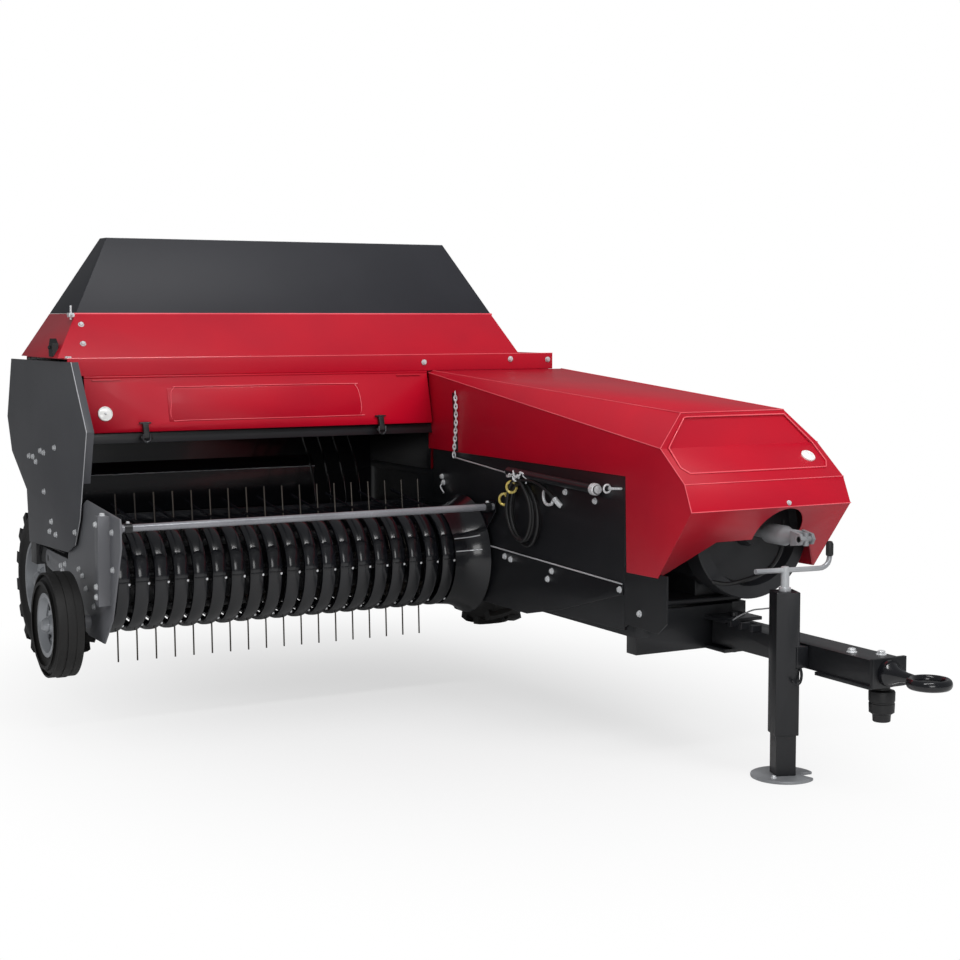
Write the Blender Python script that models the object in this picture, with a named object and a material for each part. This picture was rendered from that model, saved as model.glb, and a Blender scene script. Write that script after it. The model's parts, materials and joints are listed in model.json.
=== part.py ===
"""Small square baler with a raised pickup, built at full size.

Frame: metres, +Z up, the machine travels towards -Y, +X is its left side.
The origin lies on the ground, in the middle of the machine's outer box.
"""
import math

import bmesh
import bpy
from mathutils import Matrix, Vector

# Clearances and sheet
GAP = 0.0003
SHEET = 0.003
PLATE = 0.006

# Bale chamber: a rectangular channel along Y, inner sizes
CHAMBER_X = 0.622
CHAMBER_WIDTH = 0.460
CHAMBER_HEIGHT = 0.360
CHAMBER_FLOOR = 0.500
CHAMBER_WALL = 0.005
CHAMBER_FRONT = -0.950
CHAMBER_BACK = 2.020
FEED_FRONT, FEED_BACK = 0.200, 0.720

# Long rails under the chamber
RAIL_HEIGHT = 0.095
RAIL_WIDTH = 0.060
RAIL_FRONT, RAIL_BACK = -1.440, 1.300

# Feed house between the right end plate and the chamber
END_PLATE_X = -1.145
DECK_Z = 1.278
DECK_TOP = 1.3447
DECK_FRONT, DECK_BACK = 0.100, 0.700
END_PLATE_THICK = 0.004
DECK_LEFT = 0.980
FEED_FLOOR = 0.600
FEED_WALL_Y = 0.692

# Door at the front of the feed house
DOOR_RIGHT, DOOR_LEFT = -1.080, 0.368
BARREL_RADIUS = 0.005
DOOR_TOP, DOOR_BOTTOM = DECK_Z - GAP - BARREL_RADIUS, 1.065
DOOR_TOP_Y, DOOR_BOTTOM_Y = 0.098, 0.046

# Hood on the deck: heights and the plan of each level
HOOD_BASE, HOOD_SEAM, HOOD_TOP = 1.345, 1.514, 1.815

# Cowl over the flywheel
COWL_RIGHT, COWL_LEFT = 0.375, 1.040
COWL_BACK = 0.095
COWL_EDGE = 0.955

# Drive line
SHAFT_X, SHAFT_Z = 0.785, 0.765
FLYWHEEL_RADIUS = 0.240
FLYWHEEL_FRONT, FLYWHEEL_BACK = -1.570, -1.480
GEARBOX_FRONT, GEARBOX_BACK = -1.420, -1.000
SHAFT_RADIUS = 0.020

# Main wheels, staggered, and the gauge wheel
TYRE_RADIUS = 0.335
TYRE_WIDTH = 0.220
RIM_RADIUS = 0.170
RIGHT_WHEEL = (-0.875, 1.270)
LEFT_WHEEL = (1.200, 1.060)
GAUGE_RADIUS = 0.194
GAUGE_WIDTH = 0.115
GAUGE_RIM = 0.105
GAUGE_WHEEL = (-1.2525, -0.120, 0.384)
STUB_RADIUS = 0.022
BEAM_SIZE = 0.090
BEAM_Y = 1.165

# Pickup: reel centre, bands and tines
REEL_Y, REEL_Z = -0.230, 0.553
BAND_RADIUS = 0.190
BAND_THICK = 0.005
TINE_COUNT = 18
TINE_PITCH = 0.0722
FIRST_TINE_X = -1.062
TINE_RADIUS = 0.003
TINE_LENGTH = 0.193
BAR_CIRCLE = 0.115
BAR_RADIUS = 0.014
SLOT = 0.018
PICKUP_RIGHT = -1.134
PICKUP_LEFT = 0.366
PICKUP_BACK_Y = 0.120
DRUM_END_X = 0.2288
DRUM_END_RADIUS = 0.235
PIVOT_Y, PIVOT_Z = 0.450, 0.550
PIN_RADIUS = 0.012
GUARD_Y, GUARD_Z = -0.485, 0.765
GUARD_RADIUS = 0.0135

# Drawbar and jack
DRAWBAR_X = 0.757
DRAWBAR_WIDTH, DRAWBAR_HEIGHT = 0.120, 0.080
DRAWBAR_TOP = 0.440
DRAWBAR_PIVOT_Y = -1.500
DRAWBAR_BACK, DRAWBAR_FRONT = -1.460, -2.290
EYE_Y, EYE_Z = -2.485, 0.400
EYE_RADIUS, EYE_BAR = 0.057, 0.0125
JACK_X, JACK_Y = 0.640, -1.930
JACK_OUTER, JACK_INNER = 0.080, 0.068
JACK_WALL = 0.005
JACK_TURN = math.radians(-20.0)
JACK_LOW, JACK_HIGH = 0.143, 0.613
FOOT_RADIUS = 0.105

# Twine box on the back of the feed house
TWINE_RIGHT, TWINE_LEFT = -0.620, -0.020
TWINE_LOW, TWINE_HIGH = 0.820, 1.220
TWINE_BACK = 1.080
LID_HINGE_Y = FEED_WALL_Y + 0.006

# Bale chute: its hinge in y, z and the tray's ends
CHUTE_HINGE = (2.085, 0.475)
CHUTE_FRONT, CHUTE_BACK = 2.115, 2.5545
CHUTE_EARS = (0.4535, 0.7845)

# Tine rows: place of the bar on its circle, and where the cam points its tines, in degrees
TINE_ROWS = ((270.0, 270.0), (180.0, 68.0), (90.0, 86.0), (0.0, 62.0))


def finish(name, colour, roughness, metallic):
    """A Principled BSDF of one colour, given as sRGB hex."""
    material = bpy.data.materials.new(name)
    material.use_nodes = True
    shader = material.node_tree.nodes["Principled BSDF"]
    channels = [int(colour[i:i + 2], 16) / 255 for i in (0, 2, 4)]
    linear = [c / 12.92 if c <= 0.04045 else ((c + 0.055) / 1.055) ** 2.4 for c in channels]
    shader.inputs["Base Color"].default_value = (*linear, 1.0)
    shader.inputs["Roughness"].default_value = roughness
    shader.inputs["Metallic"].default_value = metallic
    return material


def clear_scene():
    """Remove what the file opens with."""
    for thing in list(bpy.data.objects):
        bpy.data.objects.remove(thing)


def face_out(form):
    """Turn the faces of a form outwards."""
    bmesh.ops.recalc_face_normals(form, faces=form.faces)
    if form.calc_volume(signed=True) < 0.0:
        bmesh.ops.reverse_faces(form, faces=form.faces)


def solid(name, verts, faces, look):
    """An object from points and faces, with its faces turned outwards."""
    mesh = bpy.data.meshes.new(name)
    form = bmesh.new()
    points = [form.verts.new(v) for v in verts]
    for face in faces:
        form.faces.new([points[i] for i in face])
    face_out(form)
    form.to_mesh(mesh)
    form.free()
    mesh.materials.append(look)
    thing = bpy.data.objects.new(name, mesh)
    bpy.context.collection.objects.link(thing)
    return thing


def loft(name, rings, look):
    """Join closed rings of equal count, in order, and cap both ends."""
    count = len(rings[0])
    verts = [point for ring in rings for point in ring]
    faces = [list(range(count)), [len(verts) - count + i for i in range(count)]]
    for ring in range(len(rings) - 1):
        for i in range(count):
            j = (i + 1) % count
            a, b = ring * count, (ring + 1) * count
            faces.append([a + i, a + j, b + j, b + i])
    return solid(name, verts, faces, look)


def lift(axis, low_or_high, u, v):
    """Place the outline point u, v on the plane at a height along an axis."""
    return {"X": (low_or_high, u, v), "Y": (u, low_or_high, v), "Z": (u, v, low_or_high)}[axis]


def prism(name, outline, axis, low, high, look):
    """Extrude an outline along X (given as y, z), Y (x, z) or Z (x, y)."""
    rings = [[lift(axis, height, u, v) for u, v in outline] for height in (low, high)]
    return loft(name, rings, look)


def block(name, low, high, look):
    """A box from its two corners."""
    outline = [(low[0], low[1]), (high[0], low[1]), (high[0], high[1]), (low[0], high[1])]
    return prism(name, outline, "Z", low[2], high[2], look)


def side_axes(direction):
    """Two unit directions square to the one given."""
    helper = Vector((0, 0, 1)) if abs(direction.z) < 0.9 else Vector((1, 0, 0))
    first = direction.cross(helper).normalized()
    return first, direction.cross(first).normalized()


def rod(name, start, end, radius, look, sides=12, end_radius=None):
    """A round bar, or a cone, between two points."""
    start, end = Vector(start), Vector(end)
    first, second = side_axes((end - start).normalized())
    rings = []
    for centre, size in ((start, radius), (end, end_radius or radius)):
        rings.append([centre + size * (math.cos(a) * first + math.sin(a) * second)
                      for a in (2 * math.pi * i / sides for i in range(sides))])
    thing = loft(name, rings, look)
    smooth(thing)
    return thing


def bent_rod(name, points, radius, look, sides=10):
    """A round bar along a bent path, mitred at each bend."""
    points = [Vector(p) for p in points]
    rings = []
    first = side_axes((points[1] - points[0]).normalized())[0]
    for i, point in enumerate(points):
        before = (point - points[max(i - 1, 0)]).normalized()
        after = (points[min(i + 1, len(points) - 1)] - point).normalized()
        along = (before + after).normalized()
        first = (first - along * first.dot(along)).normalized()
        second = along.cross(first)
        rings.append([point + radius * (math.cos(a) * first + math.sin(a) * second)
                      for a in (2 * math.pi * k / sides for k in range(sides))])
    thing = loft(name, rings, look)
    smooth(thing)
    return thing


def revolve(name, profile, axis, centre, look, steps=32):
    """Turn a closed profile of (along, radius) about an axis through centre."""
    mesh = bpy.data.meshes.new(name)
    form = bmesh.new()
    along = {"X": Vector((1, 0, 0)), "Y": Vector((0, 1, 0)), "Z": Vector((0, 0, 1))}[axis]
    first, second = side_axes(along)
    rings = []
    for k in range(steps):
        angle = 2 * math.pi * k / steps
        out = math.cos(angle) * first + math.sin(angle) * second
        rings.append([form.verts.new(Vector(centre) + h * along + r * out) for h, r in profile])
    count = len(profile)
    for k in range(steps):
        ring, after = rings[k], rings[(k + 1) % steps]
        for i in range(count):
            j = (i + 1) % count
            form.faces.new([ring[i], ring[j], after[j], after[i]])
    bmesh.ops.remove_doubles(form, verts=form.verts, dist=0.00002)
    bmesh.ops.dissolve_degenerate(form, dist=0.00002, edges=form.edges)
    face_out(form)
    form.to_mesh(mesh)
    form.free()
    mesh.materials.append(look)
    thing = bpy.data.objects.new(name, mesh)
    bpy.context.collection.objects.link(thing)
    smooth(thing)
    return thing


def smooth(thing, limit=35.0):
    """Shade round faces smooth and keep the edges past the limit sharp."""
    thing.data.shade_smooth()
    thing.data.set_sharp_from_angle(angle=math.radians(limit))


def bake(thing):
    """Replace an object's mesh by what its modifiers make of it."""
    graph = bpy.context.evaluated_depsgraph_get()
    mesh = bpy.data.meshes.new_from_object(thing.evaluated_get(graph))
    thing.modifiers.clear()
    thing.data = mesh


def shell(name, verts, faces, look, thickness=SHEET):
    """Bent sheet: an open surface whose wall grows inwards."""
    thing = solid(name, verts, faces, look)
    wall = thing.modifiers.new("wall", "SOLIDIFY")
    wall.thickness = thickness
    wall.offset = -1.0
    wall.use_even_offset = True
    bake(thing)
    return thing


def join(pieces):
    """Put the meshes of several pieces into the first one."""
    form = bmesh.new()
    for piece in pieces:
        piece.data.transform(piece.matrix_world)
        form.from_mesh(piece.data)
    form.to_mesh(pieces[0].data)
    form.free()
    pieces[0].matrix_world = Matrix()
    for piece in pieces[1:]:
        bpy.data.objects.remove(piece)
    return pieces[0]


def boolean(thing, tool, operation, use_self=False):
    """One exact Boolean, then the tool goes."""
    change = thing.modifiers.new("change", "BOOLEAN")
    change.operation = operation
    change.solver = "EXACT"
    change.use_self = use_self
    change.object = tool
    bake(thing)
    bpy.data.objects.remove(tool)


def fuse(name, pieces):
    """Unite overlapping pieces into one body under a new name."""
    body = pieces[0]
    if len(pieces) > 1:
        tool = pieces[-1]
        if len(pieces) > 2:
            join(pieces[:-1])
        boolean(body, tool, "UNION", use_self=len(pieces) > 2)
    body.name = name
    smooth(body)
    return body


def cut(thing, tools):
    """Take tools that don't touch each other out of a body."""
    boolean(thing, join(tools), "DIFFERENCE")
    smooth(thing)
    return thing


def hang_on(name, pieces, pivot):
    """Give moving pieces an empty on their joint's axis as their parent."""
    empty = bpy.data.objects.new(name, None)
    empty.location = pivot
    bpy.context.collection.objects.link(empty)
    for piece in pieces:
        piece.data.transform(Matrix.Translation(-Vector(pivot)))
        piece.parent = empty
    return empty


def chamber_sides():
    """Outer x and z limits of the bale chamber."""
    half = CHAMBER_WIDTH / 2 + CHAMBER_WALL
    top = CHAMBER_FLOOR + CHAMBER_HEIGHT + CHAMBER_WALL
    return CHAMBER_X - half, CHAMBER_X + half, CHAMBER_FLOOR - CHAMBER_WALL, top


def build_chamber(look):
    """Channel with ribs, a feed opening, needle slots and open windows at the rear."""
    x0, x1, z0, z1 = chamber_sides()
    rib_depth, rib_width = 0.030, 0.040
    body = [block("tube", (x0, CHAMBER_FRONT, z0), (x1, CHAMBER_BACK, z1), look)]
    for y in (1.380, 1.700, CHAMBER_BACK - rib_width / 2):
        body.append(block("rib", (x0 - rib_depth, y - rib_width / 2, z0 - rib_depth),
                          (x1 + rib_depth, y + rib_width / 2, z1 + rib_depth), look))
    chamber = fuse("bale_chamber", body)
    inner_x0, inner_x1 = x0 + CHAMBER_WALL, x1 - CHAMBER_WALL
    bore = block("bore", (inner_x0, CHAMBER_FRONT - 0.1, z0 + CHAMBER_WALL),
                 (inner_x1, CHAMBER_BACK + 0.1, z1 - CHAMBER_WALL), look)
    cut(chamber, [bore])
    slots = [block("feed", (x0 - 0.02, FEED_FRONT, FEED_FLOOR), (x0 + 0.02, FEED_BACK, z1 - 0.03), look)]
    for x in (CHAMBER_X - 0.11, CHAMBER_X + 0.11):
        for z in (z0, z1):
            slots.append(block("slot", (x - 0.012, 0.80, z - 0.02), (x + 0.012, 1.02, z + 0.02), look))
    for low, high in ((1.42, 1.66), (1.74, CHAMBER_BACK - 0.06)):
        slots.append(block("window", (x0 - 0.05, low, z0 + 0.09), (x1 + 0.05, high, z1 - 0.09), look))
        slots.append(block("window", (inner_x0 + 0.08, low, z0 - 0.05),
                           (inner_x1 - 0.08, high, z0 + 0.05), look))
        slots.append(block("window", (inner_x0 + 0.08, low, z1 - 0.05),
                           (inner_x1 - 0.08, high, z1 + 0.05), look))
    cut(chamber, slots)
    return chamber


def build_rails(look):
    """Two long rails under the chamber, their cross members and the drawbar bracket."""
    x0, x1, z0, _ = chamber_sides()
    top = z0 - GAP
    bottom = top - RAIL_HEIGHT
    pieces = []
    for x in (x0, x1 - RAIL_WIDTH):
        pieces.append(block("rail", (x, RAIL_FRONT, bottom), (x + RAIL_WIDTH, RAIL_BACK, top), look))
    for y in (-0.60, 0.20):
        pieces.append(block("cross", (x0 + 0.01, y, bottom + 0.02), (x1 - 0.01, y + 0.06, top - 0.01), look))
    low, high = DRAWBAR_TOP - DRAWBAR_HEIGHT, DRAWBAR_TOP
    half = DRAWBAR_WIDTH / 2 + 0.02
    pieces.append(block("front", (x0 + 0.004, RAIL_FRONT + 0.001, low - 0.020),
                        (x1 - 0.002, RAIL_FRONT + 0.060, top - 0.004), look))
    for z in (low - 0.018, high + 0.006):
        pieces.append(block("cheek", (DRAWBAR_X - half, DRAWBAR_PIVOT_Y - 0.06, z),
                            (DRAWBAR_X + half, RAIL_FRONT + 0.02, z + 0.012), look))
    pieces.append(rod("pin", (DRAWBAR_X, DRAWBAR_PIVOT_Y, low - 0.030),
                      (DRAWBAR_X, DRAWBAR_PIVOT_Y, high + 0.030), 0.015, look, sides=16))
    return fuse("main_rails", pieces)


def build_axle(look):
    """Cross beam with a knuckle and a stub axle at each end."""
    x0, _, z0, _ = chamber_sides()
    top = z0 - GAP - RAIL_HEIGHT - GAP
    bottom = top - BEAM_SIZE
    arm = 0.080
    right_x = RIGHT_WHEEL[0] + TYRE_WIDTH / 2 + 0.020
    left_x = LEFT_WHEEL[0] - TYRE_WIDTH / 2 - 0.020
    half = BEAM_SIZE / 2
    pieces = [block("beam", (right_x + 0.01, BEAM_Y - half, bottom), (left_x - 0.01, BEAM_Y + half, top), look)]
    for (x, y), near, side in ((RIGHT_WHEEL, right_x, 1), (LEFT_WHEEL, left_x, -1)):
        inner = near + side * arm
        ends = sorted((y, BEAM_Y))
        pieces.append(block("knuckle", (min(near, inner), ends[0] - 0.05, TYRE_RADIUS - 0.05),
                            (max(near, inner), ends[1] + 0.05, TYRE_RADIUS + 0.05), look))
        pieces.append(rod("stub", (inner, y, TYRE_RADIUS), (x - side * 0.105, y, TYRE_RADIUS),
                          STUB_RADIUS, look, sides=20))
    return fuse("axle_beam", pieces)


def build_cross_frame(look):
    """Tube under the feed house, its legs on the axle beam and the pickup's pivot brackets."""
    x0, _, z0, _ = chamber_sides()
    beam_top = z0 - 2 * GAP - RAIL_HEIGHT
    top = FEED_FLOOR - SHEET - GAP
    right = END_PLATE_X + END_PLATE_THICK + GAP
    pieces = [block("tube", (right, 0.600, top - 0.090), (x0 - GAP, 0.680, top), look)]
    for x in (-0.640, -0.060):
        pieces.append(block("leg", (x, 0.640, beam_top + GAP), (x + 0.06, BEAM_Y + 0.03, beam_top + 0.08), look))
        pieces.append(block("post", (x, 0.620, beam_top + 0.01), (x + 0.06, 0.675, top - 0.02), look))
    plate_right = PICKUP_RIGHT + PLATE
    plate_left = PICKUP_LEFT - PLATE
    for low, high, out in ((plate_right + 0.006, plate_right + 0.018, PICKUP_RIGHT),
                           (plate_left - 0.018, plate_left - 0.006, PICKUP_LEFT)):
        outline = [(0.610, PIVOT_Z + 0.035), (PIVOT_Y, PIVOT_Z + 0.030), (PIVOT_Y - 0.030, PIVOT_Z),
                   (PIVOT_Y, PIVOT_Z - 0.030), (0.610, PIVOT_Z - 0.030)]
        pieces.append(prism("bracket", outline, "X", low, high, look))
        pieces.append(rod("pin", ((low + high) / 2, PIVOT_Y, PIVOT_Z), (out, PIVOT_Y, PIVOT_Z),
                          PIN_RADIUS, look, sides=16))
    return fuse("cross_frame", pieces)


def build_feed_house(look):
    """Bent sheet: the feed floor, a rounded corner and the back wall with its crease."""
    x0 = chamber_sides()[0]
    right = END_PLATE_X + END_PLATE_THICK + GAP
    radius = 0.110
    profile = [(0.185, FEED_FLOOR)]
    for k in range(7):
        angle = math.radians(-90 + 15 * k)
        profile.append((FEED_WALL_Y - radius + radius * math.cos(angle),
                        FEED_FLOOR + radius + radius * math.sin(angle)))
    profile += [(FEED_WALL_Y, DECK_TOP - PLATE - GAP - 0.0001)]
    inner = [(y - SHEET, z + SHEET) if z < FEED_FLOOR + radius else (y - SHEET, z) for y, z in profile]
    inner[0] = (inner[0][0] + SHEET, inner[0][1])
    return prism("feed_house", profile + inner[::-1], "X", right, x0 - GAP, look)


def build_end_plate(look):
    """The grey end plate with its bent front flange."""
    outline = [(0.044, 1.333), (-0.150, 1.082), (-0.048, 0.751), (0.018, 0.651), (0.120, 0.612),
               (0.690, 0.590), (0.720, 0.800), (0.953, 0.942), (1.020, 1.085), (0.937, 1.328)]
    outside, inside = END_PLATE_X, END_PLATE_X + END_PLATE_THICK
    plate = prism("plate", outline, "X", outside, inside, look)
    flange = [(0.044, 1.333), (-0.150, 1.082), (-0.092, 0.890), (-0.087, 0.890), (-0.144, 1.082),
              (0.049, 1.330)]
    lip = prism("lip", flange, "X", outside + 0.001, outside + 0.030, look)
    return fuse("end_plate_right", [plate, lip])


def build_deck(look):
    """Top tray whose front lip is the strip above the door."""
    right = END_PLATE_X + END_PLATE_THICK + GAP
    t = PLATE - 0.002
    outline = [(DECK_FRONT, DECK_Z), (DECK_FRONT + t, DECK_Z), (DECK_FRONT + t, DECK_TOP - t),
               (DECK_BACK - t, DECK_TOP - t), (DECK_BACK - t, DECK_Z), (DECK_BACK, DECK_Z),
               (DECK_BACK, DECK_TOP), (DECK_FRONT, DECK_TOP)]
    return prism("deck", outline, "X", right, DECK_LEFT, look)


def build_drive_housing(look):
    """Closed cover over the plunger crank and the feeder drive, beside the deck."""
    x0, x1, _, z1 = chamber_sides()
    y0, y1 = DECK_FRONT + PLATE + 0.01, DECK_BACK - PLATE - 0.002
    top = DECK_TOP - (PLATE - 0.002) - GAP
    outline = [(x0, z1 + GAP), (x1, z1 + GAP), (x1 + 0.020, z1 + 0.060), (DECK_LEFT - 0.010, 1.100),
               (DECK_LEFT - 0.010, top), (x0, top)]
    return prism("drive_housing", outline, "Y", y0, y1, look)


def level(z, right, left, front, back):
    """One level of the hood in plan."""
    return [(right, front, z), (left, front, z), (left, back, z), (right, back, z)]


def build_hood(red, black):
    """Red skirt and black top of the hood, both open underneath."""
    base = level(HOOD_BASE, -1.165, 0.840, 0.150, 0.690)
    seam = level(HOOD_SEAM, -1.050, 0.785, 0.300, 0.680)
    top = level(HOOD_TOP, -0.885, 0.615, 0.430, 0.520)
    sides = [[i, (i + 1) % 4, 4 + (i + 1) % 4, 4 + i] for i in range(4)]
    skirt = shell("hood_skirt", base + seam, sides, red)
    cap = shell("hood_top", seam + top, sides + [[4, 5, 6, 7]], black)
    reach = 2.0
    cut(skirt, [block("under", (-reach, -reach, HOOD_BASE - 0.1), (reach, reach, HOOD_BASE), red),
                block("over", (-reach, -reach, HOOD_SEAM), (reach, reach, HOOD_SEAM + 0.1), red)])
    cut(cap, [block("under", (-reach, -reach, HOOD_SEAM - 0.1), (reach, reach, HOOD_SEAM + GAP), black)])
    return [skirt, cap]


def build_door(look):
    """Top-hinged door: a panel with a pressed rim, a folded foot and a hinge barrel."""
    t = 0.002
    panel = [(DOOR_TOP_Y, DOOR_TOP), (DOOR_BOTTOM_Y, DOOR_BOTTOM), (DOOR_BOTTOM_Y + 0.020, DOOR_BOTTOM),
             (DOOR_BOTTOM_Y + 0.020, DOOR_BOTTOM + t), (DOOR_BOTTOM_Y + 2 * t, DOOR_BOTTOM + t),
             (DOOR_TOP_Y + t, DOOR_TOP)]
    sheet = prism("panel", panel, "X", DOOR_RIGHT, DOOR_LEFT, look)
    lean = (DOOR_TOP_Y - DOOR_BOTTOM_Y) / (DOOR_TOP - DOOR_BOTTOM)
    low, high = DOOR_BOTTOM + 0.035, DOOR_TOP - 0.045
    face = [(DOOR_BOTTOM_Y + lean * (z - DOOR_BOTTOM), z) for z in (low, high)]
    swage = [(face[0][0] - 0.0005, low), (face[0][0] - 0.003, low + 0.006), (face[1][0] - 0.003, high - 0.006),
             (face[1][0] - 0.0005, high), (face[1][0] + 0.001, high), (face[0][0] + 0.001, low)]
    raised = prism("swage", swage, "X", -0.760, 0.050, look)
    barrel = rod("barrel", (DOOR_RIGHT, DOOR_TOP_Y + 0.001, DOOR_TOP), (DOOR_LEFT, DOOR_TOP_Y + 0.001, DOOR_TOP),
                 BARREL_RADIUS, look, sides=10)
    return fuse("door", [sheet, raised, barrel])


def build_latch(name, x, look):
    """Rubber T-latch on the door's foot."""
    y, z = DOOR_BOTTOM_Y, DOOR_BOTTOM
    front = y - GAP
    outline = [(front - 0.0002, z + 0.002), (front + 0.0080, z + 0.036), (front - 0.004, z + 0.038),
               (front - 0.016, z + 0.008), (front - 0.018, z - 0.024), (front - 0.004, z - 0.024)]
    strap = prism("strap", outline, "X", x - 0.011, x + 0.011, look)
    handle = rod("handle", (x - 0.024, front - 0.012, z - 0.022), (x + 0.024, front - 0.012, z - 0.022),
                 0.007, look, sides=10)
    return fuse(name, [strap, handle])


def build_sill(look):
    """Bar below the door, from the end plate to the cowl."""
    right = END_PLATE_X + END_PLATE_THICK + GAP
    outline = [(0.060, 1.022), (0.100, 1.022), (0.100, 1.062), (0.070, 1.062)]
    return prism("door_sill", outline, "X", right, COWL_RIGHT - GAP, look)


def build_cowl(look):
    """Folded cowl over the flywheel: octagonal nose, a band across it and a cut-away foot."""
    side = [(COWL_BACK, 1.270), (COWL_BACK, COWL_EDGE), (-1.390, COWL_EDGE), (-1.400, 0.624),
            (-1.590, 0.627), (-1.780, 0.867), (-1.740, COWL_EDGE), (-1.600, 1.064)]
    arch_y, arch_z = -1.687, 0.7495
    verts = [(x, y, z) for x in (COWL_RIGHT, COWL_LEFT) for y, z in side]
    verts += [(COWL_RIGHT + 0.020, COWL_BACK, 1.2777), (COWL_LEFT - 0.020, COWL_BACK, 1.2777),
              (COWL_RIGHT + 0.095, -1.580, 1.180), (COWL_LEFT - 0.135, -1.580, 1.180),
              (COWL_RIGHT + 0.170, arch_y, arch_z), (COWL_LEFT - 0.110, arch_y, arch_z)]
    faces = [list(range(8)), list(range(8, 16)), [0, 7, 18], [0, 18, 16], [8, 15, 19], [8, 19, 17],
             [16, 18, 19, 17], [18, 7, 15, 19], [7, 6, 14, 15], [6, 5, 13, 14], [5, 4, 20, 21, 12, 13]]
    cowl = shell("flywheel_cowl", verts, faces, look)
    hole = rod("hole", (SHAFT_X, -1.900, SHAFT_Z), (SHAFT_X, -1.630, SHAFT_Z), 0.095, look, sides=28)
    return cut(cowl, [hole])


def build_side_panel(look):
    """Black closing panel between the cowl's side and the chamber."""
    outline = [(0.060, 1.000), (0.060, 0.500), (-0.300, 0.420), (-0.950, 0.410), (-1.385, 0.420),
               (-1.385, 1.000)]
    return prism("side_panel", outline, "X", COWL_RIGHT + SHEET + GAP, chamber_sides()[0] - GAP, look)


def build_deflector(look):
    """Crop deflector on the side panel."""
    outline = [(-0.388, 0.607), (-0.611, 0.601), (-1.380, 0.580), (-1.380, 0.543), (-0.972, 0.432),
               (-0.725, 0.380), (-0.300, 0.380), (-0.250, 0.420)]
    outer = COWL_RIGHT + SHEET
    return prism("crop_deflector", outline, "X", outer - PLATE, outer, look)


def build_side_tube(look):
    """Tube along the side panel, held by two end lugs."""
    outer = COWL_RIGHT + SHEET
    pieces = [rod("tube", (0.352, -0.620, 0.915), (0.352, -1.250, 0.897), 0.016, look)]
    for y, z in ((-0.660, 0.914), (-1.215, 0.898)):
        pieces.append(block("lug", (0.350, y - 0.015, z - 0.022), (outer, y + 0.015, z + 0.010), look))
    return fuse("side_tube", pieces)


def build_gearbox(look):
    """Gearbox on a base plate across the rails."""
    x0, x1, z0, _ = chamber_sides()
    base = z0 + 0.0003
    housing = [(0.640, 0.600), (0.700, 0.560), (0.870, 0.560), (0.930, 0.620), (0.930, 0.880),
               (0.870, 0.940), (0.700, 0.940), (0.640, 0.880)]
    pieces = [prism("housing", housing, "Y", GEARBOX_FRONT, GEARBOX_BACK, look),
              block("base", (x0 + 0.010, GEARBOX_FRONT, base), (x1, GEARBOX_BACK, base + 0.020), look),
              block("foot", (0.680, GEARBOX_FRONT + 0.04, base + 0.01), (0.840, GEARBOX_BACK - 0.04, 0.60), look)]
    return fuse("gearbox", pieces)


def build_flywheel(look):
    """Cast flywheel: heavy rim, thin web and hub on the input shaft."""
    mid = (FLYWHEEL_FRONT + FLYWHEEL_BACK) / 2
    half = (FLYWHEEL_BACK - FLYWHEEL_FRONT) / 2
    bore = SHAFT_RADIUS + GAP
    rim = FLYWHEEL_RADIUS - 0.045
    profile = [(-half, FLYWHEEL_RADIUS), (half, FLYWHEEL_RADIUS), (half, rim), (0.012, rim - 0.010),
               (0.012, 0.060), (half + 0.015, 0.050), (half + 0.015, bore), (-half - 0.010, bore),
               (-half - 0.010, 0.050), (-0.012, 0.060), (-0.012, rim - 0.010), (-half, rim)]
    return revolve("flywheel", profile, "Y", (SHAFT_X, mid, SHAFT_Z), look, steps=32)


def build_input_shaft(look):
    """Shaft from the gearbox through the flywheel to the drive yoke."""
    start = GEARBOX_FRONT - GAP
    centre = (SHAFT_X, start, SHAFT_Z)
    r = SHAFT_RADIUS
    profile = [(0.0, 0.0), (0.0, r), (-0.240, r), (-0.240, 0.034), (-0.330, 0.034), (-0.345, 0.026),
               (-0.400, 0.026), (-0.400, 0.0)]
    shaft = revolve("shaft", profile, "Y", centre, look, steps=24)
    ears = []
    for side in (-1, 1):
        x = SHAFT_X + side * 0.024
        outline = [(start - 0.390, SHAFT_Z - 0.026), (start - 0.390, SHAFT_Z + 0.026),
                   (start - 0.440, SHAFT_Z + 0.018), (start - 0.450, SHAFT_Z), (start - 0.440, SHAFT_Z - 0.018)]
        ears.append(prism("ear", outline, "X", x - 0.006, x + 0.006, look))
    return fuse("input_shaft", [shaft] + ears)


def build_knotters(look):
    """Knotter frame on the chamber with its shaft and two cam discs."""
    z1 = chamber_sides()[3] + GAP
    y = 0.900
    frame = [(0.760, z1), (1.070, z1), (1.030, 1.060), (0.940, 1.130), (0.860, 1.130), (0.790, 1.060)]
    pieces = [prism("plate", frame, "X", x, x + 0.010, look) for x in (0.425, 0.809)]
    for low in (0.765, 1.035):
        pieces.append(block("tie", (0.430, low, z1), (0.815, low + 0.025, z1 + 0.015), look))
    pieces.append(rod("shaft", (0.400, y, 1.030), (0.850, y, 1.030), 0.018, look))
    for x in (CHAMBER_X - 0.110, CHAMBER_X + 0.110):
        pieces.append(rod("disc", (x - 0.012, y, 1.030), (x + 0.012, y, 1.030), 0.095, look, sides=28))
    return fuse("knotter_stack", pieces)


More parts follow.
